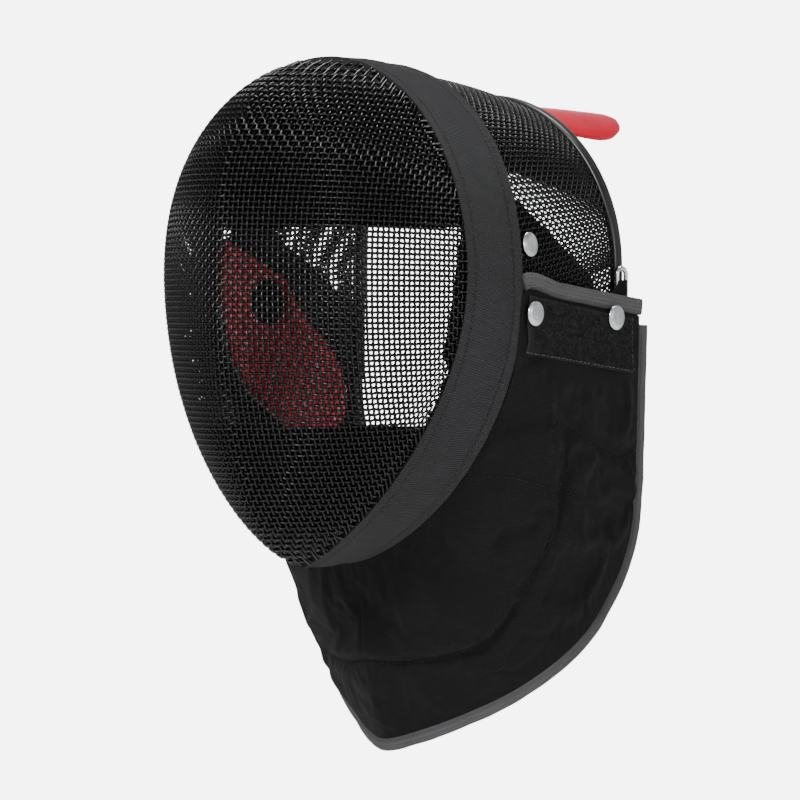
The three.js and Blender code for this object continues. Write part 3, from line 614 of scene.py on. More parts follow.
class Finish:
    """A material in the making, with its nodes, links and shader."""

    def __init__(self, name, roughness, metallic=0.0, **sockets):
        self.material = bpy.data.materials.new(name)
        self.material.use_nodes = True
        self.nodes = self.material.node_tree.nodes
        self.links = self.material.node_tree.links
        self.shader = self.nodes["Principled BSDF"]
        self.shader.inputs["Roughness"].default_value = roughness
        self.shader.inputs["Metallic"].default_value = metallic
        for key, value in sockets.items():
            self.shader.inputs[key.replace("_", " ")].default_value = value

    def add(self, kind, settings=None, out=0, **inputs):
        node = self.nodes.new(kind)
        for key, value in (settings or {}).items():
            setattr(node, key, value)
        for key, value in inputs.items():
            socket = node.inputs[int(key[1:])] if key[0] == "_" else node.inputs[key]
            if isinstance(value, bpy.types.NodeSocket):
                self.links.new(value, socket)
            else:
                socket.default_value = value
        return node.outputs[out]

    def maths(self, operation, a, b=0.0, c=0.0):
        return self.add("ShaderNodeMath", {"operation": operation}, _0=a, _1=b, _2=c)

    def uv(self):
        return self.add("ShaderNodeUVMap")

    def spot(self):
        return self.add("ShaderNodeTexCoord", out=3)

    def noise(self, coords, scale, detail=4.0, roughness=0.6):
        return self.add("ShaderNodeTexNoise", Vector=coords, Scale=scale, Detail=detail, Roughness=roughness)

    def waves(self, coords, axis, pitch):
        """The sine of one coordinate, with its pitch in metres."""
        along = self.add("ShaderNodeSeparateXYZ", out=axis, _0=coords)
        return self.maths("SINE", self.maths("MULTIPLY", along, 2 * math.pi / pitch))

    def shades(self, factor, colour, *stops):
        """Lighter and darker shades of one colour, each stop a place on the ramp and how bright it is."""
        node = self.nodes.new("ShaderNodeValToRGB")
        self.links.new(factor, node.inputs[0])
        while len(node.color_ramp.elements) < len(stops):
            node.color_ramp.elements.new(0.5)
        for element, (position, brightness) in zip(node.color_ramp.elements, stops):
            element.position = position
            element.color = (*shade(colour, brightness), 1)
        return node.outputs[0]

    def blend(self, factor, base, colour):
        return self.add("ShaderNodeMixRGB", Fac=factor, Color1=base, Color2=(*colour, 1))

    def colour(self, socket):
        self.links.new(socket, self.shader.inputs["Base Color"])

    def rough(self, factor, low, high):
        span = self.add("ShaderNodeMapRange", _0=factor, _3=low, _4=high)
        self.links.new(span, self.shader.inputs["Roughness"])

    def bump(self, height, millimetres, strength=1.0):
        under = self.shader.inputs["Normal"].links
        inputs = {"Height": height, "Distance": millimetres * 0.001, "Strength": strength}
        if under:
            inputs["Normal"] = under[0].from_socket
        self.links.new(self.add("ShaderNodeBump", **inputs), self.shader.inputs["Normal"])


def shade(colour, factor):
    return tuple(min(1, max(0, c * factor)) for c in colour[:3])


def wire_finish(colour):
    finish = Finish("painted_wire", 0.3, 0, Specular_IOR_Level=0.25)
    spot = finish.spot()
    worn = finish.noise(spot, 90, 5)
    fine = finish.noise(spot, 900, 3)
    finish.colour(finish.shades(worn, colour, (0.35, 0.7), (0.6, 1), (0.85, 2.2)))
    finish.rough(fine, 0.14, 0.26)
    finish.bump(fine, 0.05, 0.4)
    return finish.material


def ribbed_finish(name, colour, pitch, other_pitch):
    finish = Finish(name, 0.85, Sheen_Weight=0.04, Sheen_Roughness=0.5, Specular_IOR_Level=0.12)
    uv = finish.uv()
    ribs = finish.maths("ABSOLUTE", finish.waves(uv, 0, 2 * pitch))
    picks = finish.waves(uv, 1, other_pitch)
    height = finish.maths("ADD", ribs, finish.maths("MULTIPLY", picks, 0.25))
    lint = finish.noise(uv, 2600, 3)
    worn = finish.noise(finish.spot(), 45, 4)
    # Painted shade and painted highlight: the colour is darker in the grooves between the ribs and lighter on
    # their crests, following the same height as the bump.
    rib_shade = finish.maths("MULTIPLY_ADD", height, 0.4, 0.35)
    base = finish.shades(rib_shade, colour, (0.15, 0.45), (0.6, 1), (0.95, 1.5))
    finish.colour(finish.blend(finish.maths("MULTIPLY", worn, 0.45), base, shade(colour, 1.7)))
    finish.rough(lint, 0.75, 0.95)
    finish.bump(height, 0.6, 1.0)
    finish.bump(lint, 0.12, 0.5)
    return finish.material


def woven_finish(name, colour, pitch):
    finish = Finish(name, 0.9, Sheen_Weight=0.02, Sheen_Roughness=0.45, Specular_IOR_Level=0.12)
    uv = finish.uv()
    cross = finish.maths("MULTIPLY", finish.waves(uv, 0, pitch), finish.waves(uv, 1, pitch))
    lint = finish.noise(uv, 1800, 4)
    worn = finish.noise(finish.spot(), 30, 5)
    # The colour partly follows the weave's relief as painted shade and painted highlight, darker where the
    # threads dip and lighter where they rise. Partly it follows the fine lint noise that also bumps the
    # cloth.
    lint_and_weave_shade = finish.maths("MULTIPLY_ADD", cross, 0.3, finish.maths("MULTIPLY", lint, 0.7))
    base = finish.shades(lint_and_weave_shade, colour, (0.05, 0.5), (0.4, 1), (0.8, 1.6))
    finish.colour(finish.blend(finish.maths("MULTIPLY", worn, 0.4), base, shade(colour, 1.5)))
    finish.rough(lint, 0.8, 0.98)
    finish.bump(cross, 0.25, 0.7)
    finish.bump(lint, 0.15, 0.5)
    return finish.material


def vinyl_finish(name, colour, roughness):
    finish = Finish(name, roughness, Specular_IOR_Level=0.08)
    spot = finish.spot()
    grain = finish.add("ShaderNodeTexVoronoi", Vector=spot, Scale=900)
    cloud = finish.noise(spot, 25, 4)
    finish.colour(finish.shades(cloud, colour, (0.3, 0.8), (0.55, 1), (0.8, 1.12)))
    finish.rough(finish.noise(spot, 300, 3), roughness - 0.06, roughness + 0.12)
    finish.bump(grain, 0.06, 0.4)
    return finish.material


def plastic_finish(name, colour, roughness):
    finish = Finish(name, roughness)
    spot = finish.spot()
    scuffs = finish.noise(spot, 160, 6, 0.7)
    finish.colour(finish.shades(scuffs, colour, (0.4, 1), (0.7, 1.5)))
    finish.rough(scuffs, roughness - 0.08, roughness + 0.2)
    finish.bump(finish.noise(spot, 1200, 2), 0.04, 0.4)
    return finish.material


def metal_finish(name, colour, roughness):
    finish = Finish(name, roughness, 1.0)
    spot = finish.spot()
    scratches = finish.noise(spot, 500, 6, 0.75)
    finish.colour(finish.shades(finish.noise(spot, 120, 3), colour, (0.35, 0.82), (0.7, 1)))
    finish.rough(scratches, roughness - 0.08, roughness + 0.18)
    finish.bump(scratches, 0.03, 0.3)
    return finish.material


def pile_finish(name, colour):
    finish = Finish(name, 0.95, Sheen_Weight=0.03, Sheen_Roughness=0.6, Specular_IOR_Level=0.1)
    spot = finish.spot()
    tufts = finish.noise(spot, 1100, 5, 0.75)
    # Painted shade and painted highlight: the colour follows the tufts' height, dark between the tufts and
    # much lighter on their tops, as the bump does.
    finish.colour(finish.shades(tufts, colour, (0.35, 0.4), (0.55, 1), (0.8, 2.6)))
    finish.bump(tufts, 0.6, 1)
    return finish.material


def quilted_finish(name, colour, thread, row_pitch, stitch_pitch):
    """Red cloth sewn in slanting rows of short pale stitches."""
    finish = Finish(name, 0.75, Sheen_Weight=0.2, Sheen_Roughness=0.4, Specular_IOR_Level=0.3)
    uv = finish.uv()
    turned = finish.add("ShaderNodeMapping", Vector=uv, Rotation=(0, 0, math.radians(-52)))
    rows = finish.waves(turned, 1, row_pitch)
    on_row = finish.maths("GREATER_THAN", rows, 0.955)
    on_stitch = finish.maths("GREATER_THAN", finish.waves(turned, 0, stitch_pitch), -0.2)
    stitch = finish.maths("MULTIPLY", on_row, on_stitch)
    cloud = finish.noise(finish.spot(), 40, 4)
    fine = finish.noise(uv, 2200, 3)
    cross = finish.maths("MULTIPLY", finish.waves(uv, 0, 0.0012), finish.waves(uv, 1, 0.0012))
    base = finish.shades(cloud, colour, (0.3, 0.75), (0.6, 1), (0.85, 1.2))
    finish.colour(finish.blend(stitch, base, thread))
    finish.rough(fine, 0.65, 0.85)
    finish.bump(finish.maths("POWER", finish.maths("ABSOLUTE", rows), 3), -1.2, 0.8)
    finish.bump(cross, 0.12, 0.6)
    finish.bump(fine, 0.08, 0.4)
    return finish.material


# Settings

def number(name, description, default, low, high, **more):
    return FloatProperty(name=name, description=description, default=default, min=low, max=high, **more)


def tint(name, description, default):
    return FloatVectorProperty(name=name, description=description, default=default, min=0, max=1, size=3,
                               subtype="COLOR")


class WireSettings(bpy.types.PropertyGroup):
    """Wire walls of the front and the hood."""
    pitch: number("Wire pitch", "Distance between wires", 0.0031, 0.002, 0.006, unit="LENGTH", precision=5)
    diameter: number("Wire diameter", "Thickness of one wire", 0.00126, 0.0005, 0.002, unit="LENGTH",
                     precision=5)
    colour: tint("Wire colour", "Colour of the painted wire", (0.004, 0.004, 0.0045))


class ClothSettings(bpy.types.PropertyGroup):
    """Band, bib, tapes and pads."""
    puff: number("Puff", "Pressure that fills the quilted bib", 1.2, 0, 10)
    slack: number("Slack", "Spare cloth that creases the bib", 0.05, 0, 0.2, subtype="FACTOR")
    band: tint("Band colour", "Colour of the seam band", (0.023, 0.023, 0.0245))
    bib: tint("Bib colour", "Colour of the bib's cloth", (0.0062, 0.0062, 0.0066))
    tape: tint("Tape colour", "Colour of the tapes and the binding", (0.092, 0.092, 0.095))
    loop: tint("Loop colour", "Colour of the loop patches", (0.018, 0.018, 0.019))
    thread: tint("Thread colour", "Colour of the sewing thread", (0.20, 0.20, 0.21))
    pad: tint("Pad colour", "Colour of the black pads and the side linings", (0.003, 0.003, 0.0032))
    cheek: tint("Cheek colour", "Colour of the cheek pads", (0.88, 0.008, 0.034))
    piping: tint("Piping colour", "Colour of the cheek pads' piping", (0.55, 0.50, 0.50))


class HardSettings(bpy.types.PropertyGroup):
    """Rim, tongue, caps and rings."""
    tongue: tint("Tongue colour", "Colour of the covered spring tongue", (0.50, 0.0, 0.020))
    rim: tint("Rim colour", "Colour of the rear rim", (0.004, 0.004, 0.0045))
    metal: tint("Metal colour", "Colour of caps and rings", (0.78, 0.79, 0.81))
    cap_steps: IntProperty(name="Cap steps", description="Faces round each snap cap", default=48, min=12,
                           max=96)


class StageSettings(bpy.types.PropertyGroup):
    """Floor, backdrop, lights and camera."""
    paper: tint("Backdrop colour", "Colour of the floor and backdrop", (0.90, 0.90, 0.90))
    daylight: number("Daylight", "Strength of the even light", 0.3, 0, 5)
    glow: number("Backdrop glow", "Light of the backdrop itself", 6, 0, 20)
    key: number("Key light", "Power of the main lamp", 60, 0, 500)
    distance: number("Camera distance", "How far the camera stands from the face", 9, 1, 20, unit="LENGTH")


def settings():
    return bpy.context.scene.fencing_mask


class MaskSettings(bpy.types.PropertyGroup):
    """All settings of the fencing mask."""
    wire: PointerProperty(type=WireSettings)
    cloth: PointerProperty(type=ClothSettings)
    hard: PointerProperty(type=HardSettings)
    stage: PointerProperty(type=StageSettings)


# Wire walls

def woven_wires(spots, normals, present, wire, sign):
    """Lines of one family of wires, which pass over and under in turn.

    spots[i][j] is crossing j of wire i.
    """
    lines = []
    offset = wire.diameter * 0.5
    for i, row in enumerate(spots):
        points = []
        here = [j for j in range(len(row)) if present[i][j]]
        for j in here:
            before, after = row[max(j - 1, here[0])], row[min(j + 1, here[-1])]
            step = (after - before) * (0.25 if here[0] < j < here[-1] else 0.5) * 0.5
            out = normals[i][j] * (offset * sign * (-1) ** (i + j))
            points += [row[j] - step + out, row[j] + step + out]
        if len(points) < 4:
            continue
        start = (points[0] - points[2]).normalized()
        end = (points[-1] - points[-3]).normalized()
        points = [points[0] + start * WIRE_END, *points, points[-1] + end * WIRE_END]
        lines.append((points, False))
    return lines


def weave(names, node, spots, normals, present):
    """Makes both families of a wall's wires, as two pieces that stand for its node."""
    wire = settings().wire
    finish = wire_finish(wire.colour)
    radius = wire.diameter * 500 * FOUR_SIDED
    dress(rods(names[0], woven_wires(spots, normals, present, wire, 1), radius, finish), "wire", node)
    turned = [list(zip(*table)) for table in (spots, normals, present)]
    dress(rods(names[1], woven_wires(*turned, wire, -1), radius, finish), "wire")


class FrontSection:
    """The front wall's level sections, read by arc length from the crease."""

    def __init__(self, inset):
        self.inset = inset
        self.turns = np.linspace(0, 1, 61) ** 1.3
        self.kept = {}

    def table(self, height):
        key = round(height, 3)
        if key not in self.kept:
            self.kept[key] = line_lengths([front_point(key, side, self.inset) for side in self.turns])
        return self.kept[key]

    def at(self, level, arc):
        """The point at a level in millimetres and an arc length in metres, and how far inside it is."""
        height = front_height(level, self.inset)
        inside = FRONT_LIMIT - abs(height)
        spots, arcs = self.table(min(FRONT_LIMIT, max(-FRONT_LIMIT, height)))
        spot = [float(np.interp(abs(arc), arcs, spots[:, k])) for k in range(3)]
        if arc < 0:
            spot[0] = -spot[0]
        spot[2] = (level - SEAT_HEIGHT) * 0.001
        return Vector(spot), min(inside, float(arcs[-1]) - abs(arc))


class MASK_OT_front_wires(bpy.types.Operator):
    """Weaves the wires of the creased front"""
    bl_idname = "mask.front_wires"
    bl_label = "Front wires"

    def execute(self, context):
        section = FrontSection(WIRE_INSET)
        pitch = settings().wire.pitch
        levels = np.arange(FRONT_LEVEL - FRONT_DROP, FRONT_LEVEL + FRONT_RISE + 14, pitch * 1000)
        widest = float(section.table(0)[1][-1])
        half = int(widest / pitch)
        spots, normals, present = [], [], []
        for row in levels:
            line = []
            for k in range(-half, half + 1):
                arc = k * pitch
                line.append((mix(row, ROW_LEVEL, ROW_SAG * (arc / widest) ** 2), arc))
            found = [section.at(*spot) for spot in line]
            spots.append([spot for spot, _ in found])
            present.append([inside > 0 for _, inside in found])
            outs = []
            for (level, arc), (spot, inside) in zip(line, found):
                if inside <= 0:
                    outs.append(Vector((0, 0, 0)))
                    continue
                side = section.at(level, arc + 0.0008)[0] - section.at(level, arc - 0.0008)[0]
                rise = section.at(level + 0.8, arc)[0] - section.at(level - 0.8, arc)[0]
                outs.append(side.cross(rise).normalized())
            normals.append(outs)
        weave(("front_rows", "front_uprights"), "front_mesh", spots, normals, present)
        return {"FINISHED"}


class MASK_OT_hood_wires(bpy.types.Operator):
    """Weaves the wires of the hood"""
    bl_idname = "mask.hood_wires"
    bl_label = "Hood wires"

    def execute(self, context):
        pitch = settings().wire.pitch
        inset = HOOD_SUNK + WIRE_INSET
        turns = np.linspace(-HOOD_LIMIT, HOOD_LIMIT, 400)
        run = line_lengths([hood_point(turn, 0.5, inset) for turn in turns])[1]
        marks = np.arange(pitch * 0.5, run[-1], pitch)
        angles = np.interp(marks, run, turns)
        alongs = np.arange(-0.01, 1.02, pitch * 1000 / HOOD_REACH)
        spots = [[hood_point(angle, along, inset) for angle in angles] for along in alongs]
        normals = []
        for along in alongs:
            row = []
            for angle in angles:
                side = hood_point(angle + 0.4, along, inset) - hood_point(angle - 0.4, along, inset)
                rear = hood_point(angle, along + 0.01, inset) - hood_point(angle, along - 0.01, inset)
                row.append(rear.cross(side).normalized())
            normals.append(row)
        present = [[True] * len(angles) for _ in alongs]
        weave(("hood_hoops", "hood_lengths"), "hood_mesh", spots, normals, present)
        return {"FINISHED"}


# Band, rim and tongue

def band_surface(u, v, lift=0.0):
    """The band's face: u once round from the top, v from the front mesh to the hood."""
    rise = BAND_CROWN * math.sin(math.pi * v) + BAND_PROUD + lift
    for high, middle, wide in BAND_RIDGES:
        rise += high * hump(v, middle, wide)
    spot = Vector((14 * math.cos(math.tau * u), 14 * math.sin(math.tau * u), 3.15 * v))
    rise += 0.22 * noise.noise(spot)
    return front_ring(360 * u, -rise).lerp(band_ring(360 * u, -rise), v)


class MASK_OT_seam_band(bpy.types.Operator):
    """Makes the woven band between front and hood, with its two lines of stitching"""
    bl_idname = "mask.seam_band"
    bl_label = "Seam band"

    def execute(self, context):
        bm = mapped_grid(420, 36, band_surface, (0.78, 0.036), joined=True)
        turn_out(bm, place(0, FRONT_DEPTH + BAND_REACH / 2, 0))
        ribbed = ribbed_finish("ribbed_tape", settings().cloth.band, 0.0011, 0.0009)
        band = object_of("woven_band", bm, ribbed)
        thicken(band, BAND_PROUD + BAND_UNDER, 0.5)
        dress(band, "band_cloth", "seam_band")
        lines = []
        for channel in BAND_CHANNELS:
            points = [band_surface(i / 600, channel) for i in range(601)]
            outs = [(band_surface(i / 600, channel, 1) - p).normalized() for i, p in enumerate(points)]
            lines.append((points, outs))
        sewn("band", lines, 0.22, "band_cloth")
        return {"FINISHED"}


def rim_surface(u, v):
    """v runs once round the rim's section, from its outer front corner."""
    angle = mix(-HOOD_LIMIT, HOOD_LIMIT, u)
    turn = math.tau * v
    across = 0.5 + 0.5 * squarer(math.cos(turn), 0.55)
    deep = 0.5 + 0.5 * squarer(math.sin(turn), 0.55)
    spot = rear_ring(angle, RIM_OVER + RIM_WALL * deep)
    return spot + Vector((0, (CLEARANCE + RIM_REACH * across) * 0.001, 0))


class MASK_OT_rear_rim(bpy.types.Operator):
    """Makes the moulded rim along the hood's rear edge"""
    bl_idname = "mask.rear_rim"
    bl_label = "Rear rim"

    def execute(self, context):
        bm = mapped_grid(220, 28, rim_surface, (0.44, 0.022), joined=True)
        bmesh.ops.holes_fill(bm, edges=[e for e in bm.edges if e.is_boundary])
        closed_out(bm)
        rim = object_of("moulded_rim", bm, plastic_finish("rim_plastic", settings().hard.rim, 0.3))
        dress(rim, "rim", "rear_rim")
        return {"FINISHED"}


TONGUE_ROOT = HOOD_ARCH_LEVEL + HOOD_WIDTH - RIM_OVER - RIM_WALL - CLEARANCE
TONGUE_SEAT = (TONGUE_IN + RIM_REACH) / TONGUE_LENGTH


def tongue_surface(u, along):
    side = 2 * u - 1
    tip = max(0, 1 - max(0, (along - 1 + TONGUE_TIP) / TONGUE_TIP) ** 2) ** 0.5
    half = TONGUE_WIDTH * max(TONGUE_TIP_WIDTH, tip)
    share = abs(side) * half / TONGUE_WIDTH
    arch = TONGUE_ARCH * (0.3 * share + 0.7 * share ** 2) * mix(TONGUE_ROOT_ARCH, 1, along)
    edge = 0.9 * smooth(abs(side), 0.88, 1) + 0.9 * smooth(along, 0.97, 1)
    back = FRONT_DEPTH + BAND_REACH + HOOD_REACH - TONGUE_IN + TONGUE_LENGTH * along
    fall = max(0, (along - TONGUE_SEAT) / (1 - TONGUE_SEAT)) ** TONGUE_BEND
    return place(side * half, back, TONGUE_ROOT - TONGUE_FALL * fall - arch - edge)


class MASK_OT_spring_tongue(bpy.types.Operator):
    """Makes the vinyl-covered spring tongue under the top of the hood"""
    bl_idname = "mask.spring_tongue"
    bl_label = "Spring tongue"

    def execute(self, context):
        bm = mapped_grid(56, 90, tongue_surface, (0.062, 0.124))
        turn_out(bm, place(0, 280, -50))
        tongue = object_of("vinyl_tongue", bm, vinyl_finish("red_vinyl", settings().hard.tongue, 0.3))
        thicken(tongue, TONGUE_WALL - 1, 1.1)
        dress(tongue, "red_vinyl", "spring_tongue")
        return {"FINISHED"}


# Bib

BIB_MAP = (0.56, 0.14)  # size of the bib's UV map in metres


def bib_surface(u, v):
    return bib_point(2 * u - 1, v)


def bib_grip(around, fall):
    """How firmly the cloth is held, from 0 to 1: at its seams, under the patches and at its borders."""
    seam = min(seam_distance(around, fall, s) for s in BIB_SEAMS)
    border = min(fall, 1 - fall, (1 - around) * 2)
    patch = around > 0.66 and fall < 0.36 - 0.16 * (1 - around)
    return max(1 - smooth(seam, 0.008, 0.03), 1 - smooth(border, 0.02, 0.07), 1.0 if patch else 0)


class MASK_OT_bib(bpy.types.Operator):
    """Makes the quilted bib, puffs it between its seams and sews the seams"""
    bl_idname = "mask.bib"
    bl_label = "Bib"

    def execute(self, context):
        cloth = settings().cloth
        bm = mapped_grid(176, 60, bib_surface, BIB_MAP)
        turn_out(bm, place(0, 180, -110))
        obj = object_of("quilted_bib", bm, woven_finish("bib_weave", cloth.bib, 0.0012))
        held = obj.vertex_groups.new(name="held")
        layer = obj.data.uv_layers["UVMap"].data
        share = {}
        for loop in obj.data.loops:
            share[loop.vertex_index] = layer[loop.index].uv
        for index, (u, v) in share.items():
            grip = bib_grip(abs(2 * u / BIB_MAP[0] - 1), v / BIB_MAP[1])
            if grip > 0:
                held.add([index], grip, "REPLACE")
        thicken(obj, BIB_WALL)
        bpy.context.view_layer.objects.active = obj
        with bpy.context.temp_override(object=obj, active_object=obj, selected_objects=[obj]):
            bpy.ops.object.modifier_apply(modifier="Wall")
        settle(obj, "held", cloth.puff, cloth.slack, frames=20, most=7)
        soften = obj.modifiers.new("Smooth", "SUBSURF")
        soften.levels = soften.render_levels = 1
        dress(obj, "bib_cloth", "bib")
        lines = []
        for seam in BIB_SEAMS:
            for side in (-1, 1):
                points, outs = [], []
                for i in range(121):
                    around = side * mix(seam[0], seam[2], i / 120)
                    fall = mix(seam[1], seam[3], i / 120)
                    points.append(bib_point(around * 0.985, min(0.97, fall), 0.15))
                    outs.append(bib_outward(points[-1], around))
                lines.append((points, outs))
        seams = sewn("bib", lines, 0.12, "bib_cloth", 0.3, length=3.0)
        return {"FINISHED"}


def binding_path():
    """Frames along the bib's free edge: down one rear edge, along the hem and up the other."""
    spots = []
    for i in range(60):
        spots.append((-1, mix(0.06, 1, i / 60)))
    for i in range(400):
        spots.append((mix(-1, 1, i / 400), 1))
    for i in range(61):
        spots.append((1, mix(1, 0.06, i / 60)))
    points = [bib_point(*spot) for spot in spots]
    frames = []
    for i, (point, (around, _)) in enumerate(zip(points, spots)):
        run = (points[min(i + 3, len(points) - 1)] - points[max(i - 3, 0)]).normalized()
        up = bib_outward(point, around)
        up = (up - run * up.dot(run)).normalized()
        across = run.cross(up).normalized()
        frames.append((point - up * (BIB_WALL * 0.0005), across, up))
    return frames


class MASK_OT_bib_binding(bpy.types.Operator):
    """Makes the folded binding on the bib's free edges and sews it down"""
    bl_idname = "mask.bib_binding"
    bl_label = "Bib binding"

    def execute(self, context):
        frames = binding_path()
        inner = bib_point(0, 0.9) - bib_point(0, 1)
        flip = -1 if frames[len(frames) // 2][1].dot(inner) > 0 else 1
        path = []
        for i, (point, across, up) in enumerate(frames):
            wave = 0.5 * noise.noise(Vector((i * 0.11, 0, 0)))
            inwards = across * flip
            path.append((point - inwards * 0.0014, inwards * (1 + 0.06 * wave), up * (1 + 0.1 * wave)))
        bm = tube_on(path, soft_section(HEM_WIDTH + 1.2, HEM_WALL, 0.45), (1.05, 0.02))
        tape = ribbed_finish("binding_tape", settings().cloth.tape, TAPE_RIB, TAPE_RIB)
        dress(object_of("hem_binding", bm, tape), "tape", "bib_binding")
        points = [p + a * 0.0016 + u * (HEM_WALL * 0.00049) for p, a, u in path[2:-2]]
        sewn("binding", [(points, [u.normalized() for _, _, u in path[2:-2]])], 0.5, "tape")
        return {"FINISHED"}


TAPE_FROM = 0.5 + 6 / 18  # place of the first tape station on the line round the bib


class MASK_OT_bib_tapes(bpy.types.Operator):
    """Makes the stitched tape on the upper edge of each side of the bib"""
    bl_idname = "mask.bib_tapes"
    bl_label = "Bib tapes"

    def execute(self, context):
        points = [top_line(mix(TAPE_FROM + 0.004, 1, i / 90)) for i in range(91)]
        path = []
        for i, point in enumerate(points):
            run = (points[min(i + 2, 90)] - points[max(i - 2, 0)]).normalized()
            up = Vector((1, 0, 0))
            up = (up - run * up.dot(run)).normalized()
            across = up.cross(run).normalized()
            if across.z < 0:
                across.negate()
            path.append((point - up * (BIB_WALL * 0.0005), across, up))
        bm = tube_on(path, soft_section(TAPE_HEIGHT + 0.7, TAPE_WALL, 0.4), (0.115, 0.024))
        tape = ribbed_finish("top_tape_cloth", settings().cloth.tape, TAPE_RIB, TAPE_RIB)
        both_sides("top_tape", bm, tape, "tape", "bib_tape")
        lines = []
        ups = [up for _, _, up in path]
        for height in (1.6, TAPE_HEIGHT - 1.2):
            line = [p + a * height * 0.001 + u * TAPE_WALL * 0.00049 for p, a, u in path]
            lines += [(line, ups), (other_side(line), other_side(ups))]
        sewn("tape", lines, 1, "tape")
        return {"FINISHED"}


def patch_place(share, fall):
    """Distance behind the crease and level, in millimetres, of a place on the patch."""
    back = mix(tape_back(0) + PATCH_FRONT_GAP, BIB_REAR_BACK - PATCH_REAR_GAP, share)
    top = tape_level(share) - PATCH_BELOW
    level = top - mix(PATCH_HEIGHT_FRONT, PATCH_HEIGHT_REAR, share) * fall
    return back, level


class MASK_OT_loop_patches(bpy.types.Operator):
    """Makes the fuzzy loop patches under the tapes, with their pile and stitching"""
    bl_idname = "mask.loop_patches"
    bl_label = "Loop patches"

    def execute(self, context):
        bib = BVHTree.FromObject(bpy.data.objects["quilted_bib"], context.evaluated_depsgraph_get())

        def surface(u, v, lift=PATCH_LIFT + PATCH_WALL):
            back, level = patch_place(u, v)
            face = bib.ray_cast(place(3 * BAND_WIDTH, back, level), Vector((-1, 0, 0)))[0]
            out = wall_half_width(back, level, 0) if face is None else face.x * 1000
            return place(out + lift, back, level)
        bm = mapped_grid(60, 20, surface, (0.1, 0.033))
        turn_out(bm, place(0, 190, -20))
        pile = pile_finish("loop_pile", settings().cloth.loop)
        for patch in both_sides("fuzzy_patch", bm, pile, "loop", "loop_patch"):
            thicken(patch, PATCH_WALL, 0.4)
        dice = random.Random(7)
        loops = []
        for _ in range(2600):
            u, v = dice.uniform(0.01, 0.99), dice.uniform(0.02, 0.98)
            foot = surface(u, v, PATCH_LIFT + PATCH_WALL - 0.1)
            turn = dice.uniform(0, math.tau)
            lean = Vector((0, math.cos(turn), math.sin(turn))) * dice.uniform(0.0004, 0.0009)
            tall = Vector((dice.uniform(0.0006, 0.0013), 0, 0))
            loops.append([foot, foot + tall + lean * 0.3, foot + tall + lean, foot + lean * 1.4])
        both = [(line, False) for line in loops + [other_side(line) for line in loops]]
        dress(rods("patch_pile", both, 0.11, pile), "loop")
        lines = []
        for border in ([(i / 80, 0.965) for i in range(81)], [(0.985, i / 40) for i in range(41)]):
            line = [surface(u, v, PATCH_LIFT + PATCH_WALL + 0.1) for u, v in border]
            outs = [Vector((1, 0, 0))] * len(line)
            lines += [(line, outs), (other_side(line), other_side(outs))]
        sewn("patch", lines, 1, "loop")
        return {"FINISHED"}


# Metal

# Half section of a domed cap with a shallow ring and a rolled edge: distance from its axis and height
CAP_PROFILE = [
    (0, 2.25), (1.6, 2.2), (2.6, 2.05), (3.1, 1.9), (3.5, 1.98), (4.6, 1.75), (5.6, 1.35), (6.35, 0.95),
    (6.75, 0.9), (7.0, 0.6), (7.0, 0.25), (6.7, 0.05), (6.0, 0.0), (0, 0.0),
]


class MASK_OT_snap_caps(bpy.types.Operator):
    """Makes the domed snap caps, each on the place of its CAD node"""
    bl_idname = "mask.snap_caps"
    bl_label = "Snap caps"

    def execute(self, context):
        hard = settings().hard
        chrome = metal_finish("cap_metal", hard.metal, 0.24)
        for name in ("hood", "front", "rear"):
            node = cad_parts[f"snap_cap_{name}_left"]
            points = [node.matrix_world @ v.co for v in node.data.vertices]
            centre = sum(points, Vector()) / len(points)
            area = Vector()
            for face in node.data.polygons:
                if face.normal.x > 0.3:
                    area += face.normal * face.area
            out = area.normalized()
            foot = min((p - centre).dot(out) for p in points)
            turn = Vector((0, 0, 1)).rotation_difference(out).to_matrix().to_4x4()
            bm = spun([(x * 0.001, z * 0.001) for x, z in CAP_PROFILE], hard.cap_steps)
            low = [p for p in points if (p - centre).dot(out) < foot + 0.0001]
            middle = sum(low, Vector()) / len(low)
            bmesh.ops.transform(bm, matrix=Matrix.Translation(middle) @ turn, verts=bm.verts)
            both_sides(f"cap_{name}", bm, chrome, "metal", f"snap_cap_{name}")
        return {"FINISHED"}


RING_BACK = FRONT_DEPTH + BAND_REACH + HOOD_REACH + RIM_REACH * 0.5
RING_OUT = HOOD_WIDTH - RIM_OVER + RING_WIRE + CLEARANCE


class MASK_OT_strap_rings(bpy.types.Operator):
    """Makes the bent wire rings and the folded tabs that hold them"""
    bl_idname = "mask.strap_rings"
    bl_label = "Strap rings"

    def execute(self, context):
        hard, cloth = settings().hard, settings().cloth
        straight = RING_HEIGHT - RING_WIDTH
        centre = RING_TOP - RING_HEIGHT / 2
        half = RING_WIDTH / 2 - RING_WIRE
        points = []
        for i in range(72):
            turn = math.tau * i / 72
            c, s = math.cos(turn), math.sin(turn)
            high = centre + half * s + math.copysign(straight / 2, s) * min(1, abs(s) * 8)
            points.append(place(RING_OUT, RING_BACK + half * c, high))
        silver = metal_finish("ring_metal", hard.metal, 0.2)
        for side, line in (("left", points), ("right", other_side(points))):
            dress(rods(f"ring_{side}", [(line, True)], RING_WIRE, silver, 4), "metal", f"strap_ring_{side}")
        low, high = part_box("ring_tab_left")

        def surface(u, v):
            back = mix(low.y, high.y, 1 - (1 - u) * mix(1, 0.25, v))
            fold = 0.0003 * math.sin(math.pi * v) + 0.0006 * hump(v, 0.92, 0.05)
            return Vector((high.x - 0.0002 + fold, back, mix(low.z, high.z, v)))
        bm = mapped_grid(24, 30, surface, (0.017, 0.018))
        turn_out(bm, place(0, 230, 0))
        tab_cloth = woven_finish("tab_weave", cloth.bib, 0.0009)
        for tab in both_sides("folded_tab", bm, tab_cloth, "bib_cloth", "ring_tab"):
            thicken(tab, 1.2, 0.3)
        return {"FINISHED"}


# Pads

